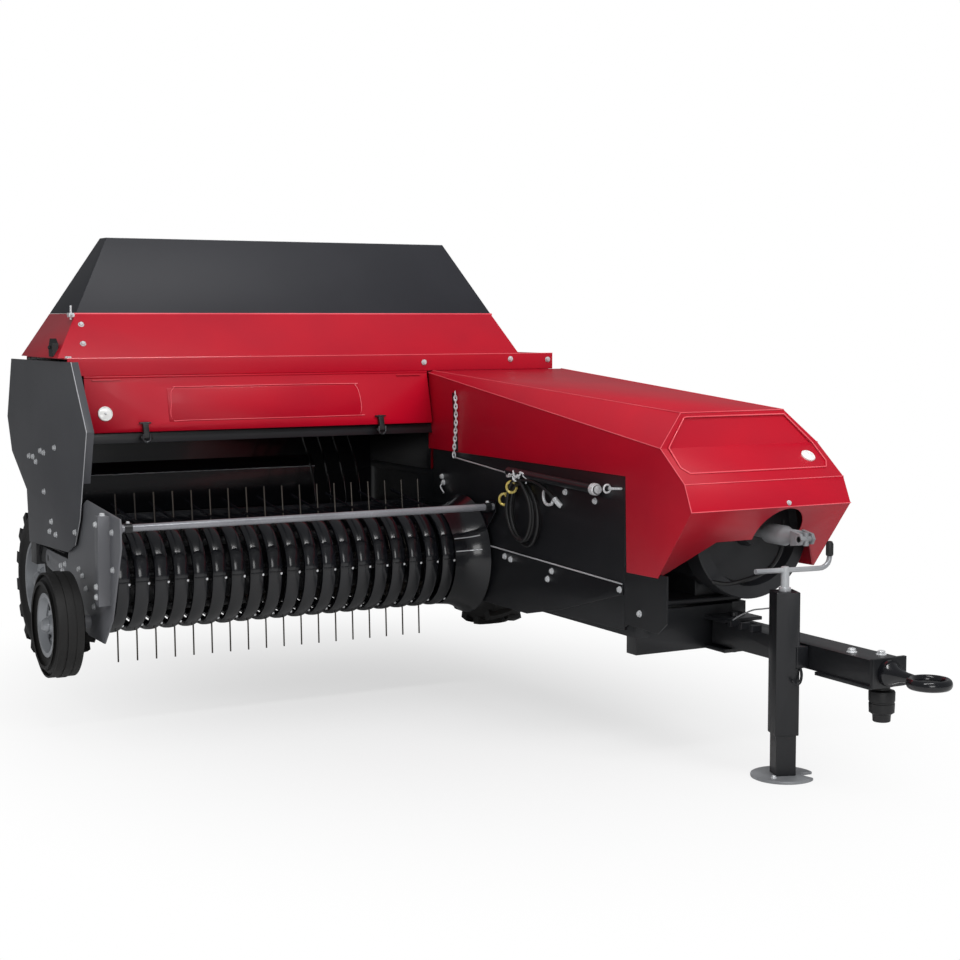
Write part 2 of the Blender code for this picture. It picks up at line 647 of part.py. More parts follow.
def build_needle_yoke(look):
    """Needle yoke hung on the chamber's sides, with two curved needles."""
    x0, x1, _, _ = chamber_sides()
    pivot = (0.760, 0.560)
    bar = (0.860, 0.235)
    arm = [(pivot[0] - 0.025, pivot[1]), (pivot[0], pivot[1] + 0.025), (pivot[0] + 0.028, pivot[1]),
           (bar[0] + 0.030, bar[1]), (bar[0], bar[1] - 0.025), (bar[0] - 0.030, bar[1])]
    pieces = []
    for low, high, wall in ((x0 - 0.018, x0 - 0.008, x0 - GAP), (x1 + 0.008, x1 + 0.018, x1 + GAP)):
        pieces.append(prism("arm", arm, "X", low, high, look))
        pieces.append(rod("boss", ((low + high) / 2, *pivot), (wall, *pivot), 0.018, look))
    pieces.append(rod("bar", (x0 - 0.014, *bar), (x1 + 0.014, *bar), 0.022, look))
    for x in (CHAMBER_X - 0.110, CHAMBER_X + 0.110):
        route = [(x, bar[0], bar[1])]
        for k in range(6):
            angle = math.radians(-70 + 28 * k)
            route.append((x, 0.890 + 0.085 * math.cos(angle), 0.350 + 0.100 * math.sin(angle)))
        pieces.append(bent_rod("needle", route, 0.011, look, sides=8))
    return fuse("needle_yoke", pieces)


def build_tension(look):
    """Bale tension frame: two cross bars drawn together by screws with springs."""
    x0, x1, z0, z1 = chamber_sides()
    rib = 0.030 + GAP
    y, out = 1.700, 0.075
    low, high = z0 - rib, z1 + rib
    pieces = [block("top", (x0 - out, y - 0.020, high), (x1 + out, y + 0.020, high + 0.045), look),
              block("bottom", (x0 - out, y - 0.020, low - 0.045), (x1 + out, y + 0.020, low), look)]
    for x in (x0 - out + 0.022, x1 + out - 0.022):
        pieces.append(rod("screw", (x, y, low - 0.060), (x, y, high + 0.300), 0.009, look))
        pieces.append(rod("spring", (x, y, high + 0.040), (x, y, high + 0.200), 0.019, look))
        pieces.append(bent_rod("handle", [(x, y, high + 0.290), (x, y - 0.060, high + 0.295),
                                          (x, y - 0.110, high + 0.295), (x, y - 0.115, high + 0.360)],
                               0.008, look, sides=8))
    return fuse("bale_tension", pieces)


def build_twine_box(look):
    """Open twine box on the back of the feed house."""
    front = FEED_WALL_Y + GAP
    box = block("twine_box", (TWINE_RIGHT, front, TWINE_LOW), (TWINE_LEFT, TWINE_BACK, TWINE_HIGH), look)
    hollow = block("hollow", (TWINE_RIGHT + SHEET, front + SHEET, TWINE_LOW + SHEET),
                   (TWINE_LEFT - SHEET, TWINE_BACK - SHEET, TWINE_HIGH + 0.1), look)
    return cut(box, [hollow])


def build_twine_lid(look):
    """Lid of the twine box with down-turned edges, hinged along its front."""
    low = TWINE_HIGH + GAP
    edge = 0.009
    lid = block("twine_lid", (TWINE_RIGHT - edge, LID_HINGE_Y, low - 0.030),
                (TWINE_LEFT + edge, TWINE_BACK + edge, low + SHEET), look)
    hollow = block("hollow", (TWINE_RIGHT - edge + SHEET, FEED_WALL_Y - 0.05, low - 0.1),
                   (TWINE_LEFT + edge - SHEET, TWINE_BACK + edge - SHEET, low), look)
    return cut(lid, [hollow])


def build_chute_lugs(look):
    """Two lugs with pins at the chamber's rear sill."""
    _, _, z0, _ = chamber_sides()
    pieces = []
    for x, side in ((0.440, 1), (0.792, -1)):
        pieces.append(block("lug", (x, CHAMBER_BACK - 0.03, CHUTE_HINGE[1] - 0.015),
                            (x + 0.012, CHUTE_HINGE[0] + 0.012, z0 - 0.008), look))
        start = x + 0.006
        pieces.append(rod("pin", (start, *CHUTE_HINGE), (start + side * 0.017, *CHUTE_HINGE), 0.007, look))
    return pieces


def build_chute(look):
    """Folding bale chute: a tray with turned-up edges on two ears."""
    x0, x1, z0, _ = chamber_sides()
    top = z0 + 0.003
    left, right = x1 - 0.012, x0 + 0.012
    tray = [(right, top + 0.030), (right, top - SHEET), (left, top - SHEET), (left, top + 0.030),
            (left - SHEET, top + 0.030), (left - SHEET, top), (right + SHEET, top), (right + SHEET, top + 0.030)]
    pieces = [prism("tray", tray, "Y", CHUTE_FRONT, CHUTE_BACK, look)]
    y, z = CHUTE_HINGE
    for x in CHUTE_EARS:
        ear = [(y - 0.014, z), (y, z - 0.014), (y + 0.020, z - 0.012), (y + 0.090, top - 0.001),
               (CHUTE_FRONT + 0.003, top - 0.001), (CHUTE_FRONT - 0.008, z + 0.012), (y, z + 0.014)]
        pieces.append(prism("ear", ear, "X", x, x + 0.006, look))
    chute = fuse("bale_chute", pieces)
    holes = [rod("hole", (x - 0.01, y, z), (x + 0.016, y, z), 0.0078, look) for x in CHUTE_EARS]
    return cut(chute, holes)


def tyre_profile(half, bead, rim, radius, shoulder):
    """Closed section of a tyre as (across, radius), symmetric about its middle."""
    right = [(bead, rim + GAP), (bead, rim + 0.018), (half - 0.010, rim + 0.045),
             (half, (rim + radius) / 2), (half - 0.004, radius - 0.040),
             (half - shoulder, radius - 0.010), (half * 0.40, radius)]
    return right + [(-h, r) for h, r in right[::-1]]


def build_tyre(name, centre, look, width, radius, rim, bead, lugs, lug_depth, steps):
    """Tyre, with shoulder lugs set in a slanted row on each side where it has them."""
    half = width / 2
    section = tyre_profile(half, bead, rim, radius - (0.0 if not lugs else lug_depth), 0.022)
    tyre = revolve("tyre", section, "X", centre, look, steps=steps)
    x, y, z = centre
    pieces = []
    for k in range(lugs):
        for side in (-1, 1):
            start = 2 * math.pi * (k + (0.5 if side > 0 else 0.0)) / lugs
            span, lean = 0.45 * 2 * math.pi / lugs, 0.35 * 2 * math.pi / lugs
            rings = []
            for low, high in ((radius - 0.040, radius - 0.070), (radius - 0.0005, radius - 0.006)):
                ring = []
                for h, turn, r in ((0.006, 0.0, low), (half - 0.008, lean, high),
                                   (half - 0.008, lean + span, high), (0.006, span, low)):
                    a = start + turn
                    ring.append((x + side * h, y + r * math.cos(a), z + r * math.sin(a)))
                rings.append(ring)
            pieces.append(loft("lug", rings, look))
    return fuse(name, pieces + [tyre])


def build_rim(name, centre, look, rim, bead, side, bore, dish):
    """Pressed wheel: flanges, a dropped well, a dished disc and a hub."""
    lip, t = 0.005, 0.004
    b = bead + GAP
    outer = [(-b - lip, rim + 0.012), (-b, rim + 0.012), (-b, rim), (-0.45 * b, rim - 0.016),
             (0.45 * b, rim - 0.016), (b, rim), (b, rim + 0.012), (b + lip, rim + 0.012),
             (b + lip, rim - t), (0.50 * b, rim - 0.016 - t)]
    disc = [(dish, rim - 0.016 - t), (dish + 0.010, 0.72 * rim), (dish - 0.012, 0.45 * rim),
            (dish + 0.030, 0.30 * rim), (dish + 0.030, bore), (dish - 0.050, bore),
            (dish - 0.020, 0.45 * rim), (dish + 0.002, 0.72 * rim), (dish - 0.008, rim - 0.016 - t)]
    inner = [(-0.50 * b, rim - 0.016 - t), (-b - lip, rim - t)]
    profile = [(side * h, r) for h, r in outer + disc + inner]
    return revolve(name, profile, "X", centre, look, steps=28)


def build_wheels(looks):
    """Both main wheels and the gauge wheel, as lists of (joint name, centre, pieces)."""
    tyre, steel = looks["tyre"], looks["rim"]
    sets = []
    for name, (x, y), side in (("wheel_right", RIGHT_WHEEL, -1), ("wheel_left", LEFT_WHEEL, 1)):
        centre = (x, y, TYRE_RADIUS)
        pieces = [build_tyre(name + "_tyre", centre, tyre, TYRE_WIDTH, TYRE_RADIUS, RIM_RADIUS, 0.072,
                             16, 0.018, 28),
                  build_rim(name + "_rim", centre, steel, RIM_RADIUS, 0.072, side, STUB_RADIUS + GAP, 0.020)]
        sets.append((name, centre, pieces))
    pieces = [build_tyre("gauge_tyre", GAUGE_WHEEL, tyre, GAUGE_WIDTH, GAUGE_RADIUS, GAUGE_RIM, 0.040,
                         0, 0.0, 28),
              build_rim("gauge_rim", GAUGE_WHEEL, steel, GAUGE_RIM, 0.040, -1, PIN_RADIUS + GAP, 0.006)]
    sets.append(("gauge_wheel", GAUGE_WHEEL, pieces))
    return sets


def build_bands(look):
    """Stripper bands: crowned strips around the reel, one per gap between tines, on a back plate."""
    width = TINE_PITCH - SLOT
    half = width / 2
    t = BAND_THICK
    section = [(-half, -0.012), (-half + 0.006, 0.0), (0.0, 0.004), (half - 0.006, 0.0), (half, -0.012),
               (0.0, -t)]
    back = PICKUP_BACK_Y - 0.010
    path = [((back, REEL_Z - 0.165), (-0.20, -0.98)), ((REEL_Y + 0.040, REEL_Z - BAND_RADIUS), (0.0, -1.0))]
    for k in range(10):
        a = math.radians(270 - 20 * k)
        out = (math.cos(a), math.sin(a))
        path.append(((REEL_Y + BAND_RADIUS * out[0], REEL_Z + BAND_RADIUS * out[1]), out))
    path += [((back, REEL_Z + BAND_RADIUS - 0.012), (0.03, 1.0))]
    plate = block("back", (PICKUP_RIGHT + PLATE + GAP, PICKUP_BACK_Y - 0.015, REEL_Z - 0.185),
                  (PICKUP_LEFT - PLATE - GAP, PICKUP_BACK_Y, REEL_Z + BAND_RADIUS + 0.002), look)
    pieces = []
    for k in range(TINE_COUNT + 1):
        x = FIRST_TINE_X + (k - 0.5) * TINE_PITCH
        rings = [[(x + across, y + out[0] * height, z + out[1] * height) for across, height in section]
                 for (y, z), out in path]
        pieces.append(loft("band", rings, look))
    return fuse("stripper_bands", pieces + [plate])


def side_plate_outline():
    """Pickup side plate in y, z, with a round eye at the lift pivot and one at the wind guard."""
    eye = [(PIVOT_Y + 0.035 * math.cos(a), PIVOT_Z + 0.035 * math.sin(a))
           for a in (math.radians(90 - 30 * k) for k in range(7))]
    return [(-0.400, 0.430), (-0.512, 0.700), (-0.505, 0.800), (-0.300, 0.815), (-0.100, 0.830),
            (PICKUP_BACK_Y, 0.735), (0.160, 0.580)] + eye + [(0.120, 0.470), (0.060, 0.380),
                                                          (-0.100, 0.330), (-0.300, 0.330)]


def build_right_plate(look):
    """Right side plate of the pickup: stand post, gauge wheel axle and wind guard boss."""
    outer, inner = PICKUP_RIGHT, PICKUP_RIGHT + PLATE
    plate = prism("plate", side_plate_outline(), "X", outer, inner, look)
    post = block("post", (outer - 0.042, -0.385, 0.480), (outer + 0.001, -0.343, 0.800), look)
    x, y, z = GAUGE_WHEEL
    axle = rod("axle", (outer + 0.001, y, z), (x - 0.045, y, z), PIN_RADIUS, look, sides=16)
    collar = rod("collar", (outer + 0.001, y, z), (outer - 0.040, y, z), 0.024, look, sides=16)
    boss = rod("boss", (inner - 0.001, GUARD_Y, GUARD_Z), (inner + 0.006, GUARD_Y, GUARD_Z), 0.020, look)
    body = fuse("pickup_right_plate", [plate, post, axle, collar, boss])
    hole = rod("hole", (outer - 0.02, PIVOT_Y, PIVOT_Z), (inner + 0.02, PIVOT_Y, PIVOT_Z),
               PIN_RADIUS + 0.0008, look, sides=16)
    return cut(body, [hole])


def build_left_end(look):
    """Left side plate of the pickup with the smooth flared drum end."""
    inner, outer = PICKUP_LEFT - PLATE, PICKUP_LEFT
    eye = [(PIVOT_Y + 0.030 * math.cos(a), PIVOT_Z + 0.030 * math.sin(a))
           for a in (math.radians(90 - 30 * k) for k in range(7))]
    outline = [(-0.380, 0.440), (-0.400, 0.640), (-0.505, 0.750), (-0.500, 0.785), (-0.465, 0.790),
               (-0.300, 0.740), (0.100, 0.730), (0.150, 0.580)] + eye + [(0.120, 0.490), (0.030, 0.390),
                                                                    (-0.150, 0.350), (-0.300, 0.360)]
    plate = prism("plate", outline, "X", inner, outer, look)
    t = 0.004
    low, high = DRUM_END_X, inner + 0.002
    profile = [(low, BAND_RADIUS + 0.002), (low + 0.060, BAND_RADIUS + 0.006), (low + 0.100, BAND_RADIUS + 0.020),
               (high, DRUM_END_RADIUS), (high, 0.100), (high - t, 0.100), (high - t, DRUM_END_RADIUS - 0.016),
               (low + 0.100, BAND_RADIUS + 0.020 - 2 * t), (low + 0.060, BAND_RADIUS + 0.006 - t),
               (low, BAND_RADIUS + 0.002 - t)]
    drum = revolve("drum", profile, "X", (0.0, REEL_Y, REEL_Z), look, steps=32)
    body = fuse("pickup_left_end", [plate, drum])
    holes = [rod("hole", (inner - 0.02, PIVOT_Y, PIVOT_Z), (outer + 0.02, PIVOT_Y, PIVOT_Z),
                 PIN_RADIUS + 0.0008, look, sides=16)]
    return cut(body, holes)


def build_reel(look):
    """Tine reel: shaft, three spiders, four bars and a row of spring tines on each."""
    left, right = PICKUP_RIGHT + PLATE + GAP, PICKUP_LEFT - PLATE - GAP
    pieces = [rod("shaft", (left, REEL_Y, REEL_Z), (right, REEL_Y, REEL_Z), 0.020, look, sides=16)]
    first = FIRST_TINE_X - 0.4 * TINE_PITCH
    last = FIRST_TINE_X + (TINE_COUNT - 0.6) * TINE_PITCH
    for x in (first, (first + last) / 2, last):
        pieces.append(rod("spider", (x - 0.003, REEL_Y, REEL_Z), (x + 0.003, REEL_Y, REEL_Z),
                          BAR_CIRCLE + 0.022, look, sides=16))
    for place, aim in TINE_ROWS:
        a, b = math.radians(place), math.radians(aim)
        y, z = REEL_Y + BAR_CIRCLE * math.cos(a), REEL_Z + BAR_CIRCLE * math.sin(a)
        pieces.append(rod("bar", (first - 0.010, y, z), (last + 0.010, y, z), BAR_RADIUS, look, sides=8))
        for k in range(TINE_COUNT):
            x = FIRST_TINE_X + k * TINE_PITCH
            tip = (x, y + TINE_LENGTH * math.cos(b), z + TINE_LENGTH * math.sin(b))
            pieces.append(rod("tine", (x, y, z), tip, TINE_RADIUS, look, sides=4))
    return fuse("tine_reel", pieces)


def build_wind_guard(look):
    """Wind guard: a tube across the pickup with trailing rods over the bands."""
    left = PICKUP_RIGHT + PLATE + 0.006 + GAP
    right = PICKUP_LEFT - PLATE - GAP
    pieces = []
    for k in range(1, TINE_COUNT + 1, 2):
        x = FIRST_TINE_X + (k - 0.5) * TINE_PITCH
        route = [(x, GUARD_Y, GUARD_Z), (x, GUARD_Y + 0.200, GUARD_Z + 0.010), (x, GUARD_Y + 0.430, GUARD_Z + 0.040)]
        pieces.append(bent_rod("finger", route, 0.005, look, sides=6))
    tube = rod("tube", (left, GUARD_Y, GUARD_Z), (right, GUARD_Y, GUARD_Z), GUARD_RADIUS, look, sides=14)
    return fuse("wind_guard", pieces + [tube])


def build_drawbar(look):
    """Drawbar beam with a pivot hole, a lower flange and the end flange for the eye."""
    half = DRAWBAR_WIDTH / 2
    low = DRAWBAR_TOP - DRAWBAR_HEIGHT
    beam = block("beam", (DRAWBAR_X - half, DRAWBAR_FRONT, low), (DRAWBAR_X + half, DRAWBAR_BACK, DRAWBAR_TOP), look)
    flange = block("flange", (DRAWBAR_X - half - 0.012, DRAWBAR_FRONT, low - 0.010),
                   (DRAWBAR_X + half + 0.012, DRAWBAR_FRONT + 0.260, low + 0.001), look)
    head = block("head", (DRAWBAR_X - half - 0.008, DRAWBAR_FRONT - 0.012, low - 0.006),
                 (DRAWBAR_X + half + 0.008, DRAWBAR_FRONT + 0.001, DRAWBAR_TOP + 0.006), look)
    body = fuse("drawbar", [beam, flange, head])
    hole = rod("hole", (DRAWBAR_X, DRAWBAR_PIVOT_Y, low - 0.05), (DRAWBAR_X, DRAWBAR_PIVOT_Y, DRAWBAR_TOP + 0.05),
               0.0158, look, sides=16)
    return cut(body, [hole])


def build_eye(look):
    """Forged towing eye: a ring on a tapered shank."""
    x = DRAWBAR_X - 0.008
    section = [(EYE_BAR * math.sin(a), EYE_RADIUS + EYE_BAR * math.cos(a))
               for a in (2 * math.pi * k / 8 for k in range(8))]
    ring = revolve("ring", section, "Z", (x, EYE_Y, EYE_Z), look, steps=24)
    front = DRAWBAR_FRONT - 0.012 - GAP
    shank = rod("shank", (x, EYE_Y + EYE_RADIUS, EYE_Z), (x, front - 0.012, EYE_Z), 0.016, look, sides=16,
                end_radius=0.034)
    pad = rod("pad", (x, front - 0.020, EYE_Z), (x, front, EYE_Z), 0.042, look, sides=20)
    return fuse("towing_eye", [ring, shank, pad])


def build_parked_socket(look):
    """Round cable socket parked under the drawbar's front end."""
    top = DRAWBAR_TOP - DRAWBAR_HEIGHT - 0.010 - GAP
    profile = [(0.0, 0.0), (0.0, 0.026), (-0.018, 0.026), (-0.022, 0.042), (-0.090, 0.040), (-0.096, 0.030),
               (-0.118, 0.028), (-0.118, 0.0)]
    return revolve("parked_socket", profile, "Z", (DRAWBAR_X + 0.025, DRAWBAR_FRONT + 0.050, top), look, steps=24)


def turned(points):
    """Turn plan points about the jack's axis."""
    c, s = math.cos(JACK_TURN), math.sin(JACK_TURN)
    return [(JACK_X + c * x - s * y, JACK_Y + s * x + c * y) for x, y in points]


def square(size):
    """Plan corners of a square about the middle."""
    h = size / 2
    return turned([(-h, -h), (h, -h), (h, h), (-h, h)])


def build_jack_tube(look):
    """Outer tube of the jack, capped on top, with its bracket to the drawbar."""
    tube = prism("tube", square(JACK_OUTER), "Z", JACK_LOW, JACK_HIGH, look)
    side = DRAWBAR_X - DRAWBAR_WIDTH / 2 - GAP
    bracket = block("bracket", (JACK_X + 0.010, JACK_Y - 0.055, DRAWBAR_TOP - 0.075),
                    (side, JACK_Y + 0.055, DRAWBAR_TOP - 0.005), look)
    body = fuse("jack_tube", [tube, bracket])
    bore = prism("bore", square(JACK_OUTER - 2 * JACK_WALL), "Z", JACK_LOW - 0.1, JACK_HIGH - 0.006, look)
    return cut(body, [bore])


def build_jack_leg(look):
    """Inner leg of the jack on its round foot."""
    leg = prism("leg", square(JACK_INNER), "Z", 0.008, 0.475, look)
    foot = rod("foot", (JACK_X, JACK_Y, 0.0), (JACK_X, JACK_Y, 0.012), FOOT_RADIUS, look, sides=32)
    return fuse("jack_leg", [leg, foot])


def build_crank(look):
    """Crank of the jack: screw head, arm and grip."""
    stem = rod("stem", (JACK_X, JACK_Y, JACK_HIGH + GAP), (JACK_X, JACK_Y, 0.690), 0.014, look)
    arm = bent_rod("arm", [(0.520, JACK_Y, 0.684), (0.790, JACK_Y, 0.678), (0.815, JACK_Y, 0.690),
                           (0.824, JACK_Y, 0.712), (0.824, JACK_Y, 0.760)], 0.009, look)
    return fuse("jack_crank", [stem, arm])


def make_looks():
    """Every finish of the machine by name."""
    table = (("red", "B8001F", 0.30, 0.0), ("black", "26272B", 0.40, 0.0), ("grey", "404144", 0.45, 0.0),
             ("tyre", "1A1A1B", 0.85, 0.0), ("rim", "B9BCC0", 0.35, 0.6), ("steel", "A9ABAD", 0.35, 1.0),
             ("iron", "232427", 0.50, 0.3), ("rubber", "141415", 0.70, 0.0))
    return {name: finish(name, colour, rough, metal) for name, colour, rough, metal in table}


def main():
    """Build every sub-part and hang the moving ones on their axes."""
    clear_scene()
    looks = make_looks()
    red, black, grey, steel = looks["red"], looks["black"], looks["grey"], looks["steel"]
    chamber = build_chamber(black)
    fuse("bale_chamber", [chamber] + build_chute_lugs(black))
    build_rails(black)
    build_axle(black)
    build_cross_frame(black)
    build_feed_house(black)
    build_end_plate(grey)
    build_deck(red)
    build_drive_housing(red)
    build_hood(red, black)
    build_sill(black)
    build_cowl(red)
    build_side_panel(black)
    build_deflector(black)
    build_side_tube(black)
    build_gearbox(looks["iron"])
    build_knotters(looks["iron"])
    build_needle_yoke(black)
    build_tension(black)
    build_twine_box(red)
    wheels = build_wheels(looks)
    lift_pivot = (0.0, PIVOT_Y, PIVOT_Z)
    pickup = [build_bands(black), build_right_plate(black), build_left_end(black)]
    arms = hang_on("pickup_axis", pickup, lift_pivot)
    for name, centre, pieces in wheels:
        hang_on(name + "_axis", pieces, centre)
    hang_on("reel_axis", [build_reel(steel)], (0.0, REEL_Y, REEL_Z))
    hang_on("guard_axis", [build_wind_guard(black)], (0.0, GUARD_Y, GUARD_Z))
    latches = [build_latch("door_latch_right", -0.860, looks["rubber"]),
               build_latch("door_latch_left", 0.130, looks["rubber"])]
    hang_on("door_axis", [build_door(red)] + latches, (0.0, DOOR_TOP_Y + 0.001, DOOR_TOP))
    hang_on("shaft_axis", [build_flywheel(looks["iron"]), build_input_shaft(steel)],
            (SHAFT_X, (FLYWHEEL_FRONT + FLYWHEEL_BACK) / 2, SHAFT_Z))
    hang_on("lid_axis", [build_twine_lid(red)], (0.0, LID_HINGE_Y, TWINE_HIGH + GAP))
    hang_on("chute_axis", [build_chute(black)], (CHAMBER_X, *CHUTE_HINGE))
    towing = [build_drawbar(black), build_eye(looks["iron"]), build_parked_socket(looks["rubber"]),
              build_jack_tube(black), build_crank(looks["iron"])]
    swing = hang_on("drawbar_axis", towing, (DRAWBAR_X, DRAWBAR_PIVOT_Y, DRAWBAR_TOP))
    leg = hang_on("jack_axis", [build_jack_leg(black)], (JACK_X, JACK_Y, 0.0))
    bpy.context.view_layer.update()
    carried = [(leg, swing)] + [(bpy.data.objects[name], arms)
                                for name in ("reel_axis", "guard_axis", "gauge_wheel_axis")]
    for child, parent in carried:
        child.parent = parent
        child.matrix_parent_inverse = parent.matrix_world.inverted()


main()
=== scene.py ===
"""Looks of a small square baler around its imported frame: sheet metal, pickup, wheels, drive and drawbar.

Frame: metres, +Z up, the machine travels towards -Y, +X is its left side.
"""
import json
import logging
import math
from dataclasses import dataclass
from enum import Enum
from typing import Optional, Sequence

import bmesh
import bpy
import numpy as np
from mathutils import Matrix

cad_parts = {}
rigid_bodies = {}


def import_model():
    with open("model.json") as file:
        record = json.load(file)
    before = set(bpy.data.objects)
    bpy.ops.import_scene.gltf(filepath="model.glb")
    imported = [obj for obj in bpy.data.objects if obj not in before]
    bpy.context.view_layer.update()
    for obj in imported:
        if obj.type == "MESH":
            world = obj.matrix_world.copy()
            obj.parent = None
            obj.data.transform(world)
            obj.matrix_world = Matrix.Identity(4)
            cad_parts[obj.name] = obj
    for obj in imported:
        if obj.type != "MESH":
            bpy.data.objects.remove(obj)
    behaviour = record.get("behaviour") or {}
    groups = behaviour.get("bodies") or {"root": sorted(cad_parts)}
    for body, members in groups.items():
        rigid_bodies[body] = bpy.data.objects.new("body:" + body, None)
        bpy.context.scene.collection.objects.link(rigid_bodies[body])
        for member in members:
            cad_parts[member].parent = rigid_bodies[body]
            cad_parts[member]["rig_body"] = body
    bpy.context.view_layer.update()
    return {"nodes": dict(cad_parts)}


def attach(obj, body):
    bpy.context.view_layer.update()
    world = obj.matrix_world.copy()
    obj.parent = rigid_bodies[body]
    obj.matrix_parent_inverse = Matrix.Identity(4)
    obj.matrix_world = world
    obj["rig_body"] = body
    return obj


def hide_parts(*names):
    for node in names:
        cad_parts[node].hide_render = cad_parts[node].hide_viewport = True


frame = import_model()

LOG = logging.getLogger("baler")
IMAGE_WIDTH = 960
MM = 0.001
# Washer radii of the machine's usual bolts, and facets round a thin line
WASHER = 0.012
SMALL_WASHER = 0.010
LINE_SIDES = 8
# Where things face
RIGHTWARDS = (-1, 0, 0)
LEFTWARDS = (1, 0, 0)
AHEAD = (0, -1, 0)
UPWARDS = (0, 0, 1)
# Shared by all finishes: where one shade gives way to the other, pull of drawn grain, clear coat, dust
CLOUD_LOW, CLOUD_HIGH = 0.35, 0.65
DRAWN_STRETCH = 30.0
COAT_ROUGHNESS = 0.08
CRYSTAL_DARK, CRYSTAL_PALE = 0.70, 1.15
DUST_COLOUR = "8A8478"
DUST_TOP = 0.9
Array = np.ndarray
Point = Sequence[float]


class Slot(Enum):
    """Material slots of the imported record."""

    RED = "red_paint"
    BLACK = "black_paint"
    GREY = "grey_paint"
    TYRE = "tyre_rubber"
    RIM = "rim_silver"
    STEEL = "bright_steel"
    IRON = "dark_iron"
    RUBBER = "black_rubber"


class Grain(Enum):
    """How a surface was made, which settles its fine relief."""

    SPRAYED = "orange peel of baked powder"
    CAST = "skin of a sand casting"
    ZINC = "crystals of hot-dip zinc"
    DRAWN = "lines left by drawing or turning"
    MOULDED = "skin of moulded rubber"
    CLEAR = "smooth clear plastic"


class Axis(Enum):
    """A direction of the frame."""

    X = (1.0, 0.0, 0.0)
    Y = (0.0, 1.0, 0.0)
    Z = (0.0, 0.0, 1.0)


def linear(colour: str) -> tuple[float, float, float, float]:
    """Turn an sRGB hex colour to linear values.

    Args:
        colour: Six hex digits.

    Returns:
        Red, green, blue and an alpha of 1.
    """
    parts = [int(colour[i:i + 2], 16) / 255 for i in (0, 2, 4)]
    return (*[c / 12.92 if c <= 0.04045 else ((c + 0.055) / 1.055) ** 2.4 for c in parts], 1.0)


def add_node(tree: bpy.types.NodeTree, kind: str, values: Optional[dict] = None,
             links: Optional[dict] = None, **settings: object) -> bpy.types.Node:
    """Add one node with its settings, socket values and incoming links.

    Args:
        tree: Node tree to add to.
        kind: Blender's node type.
        values: Socket name or number to value.
        links: Socket name or number to the output socket that feeds it.
        **settings: Properties of the node itself.

    Returns:
        The new node.
    """
    node = tree.nodes.new(kind)
    for key, value in settings.items():
        setattr(node, key, value)
    for key, value in (values or {}).items():
        node.inputs[key].default_value = value
    for key, output in (links or {}).items():
        tree.links.new(output, node.inputs[key])
    return node


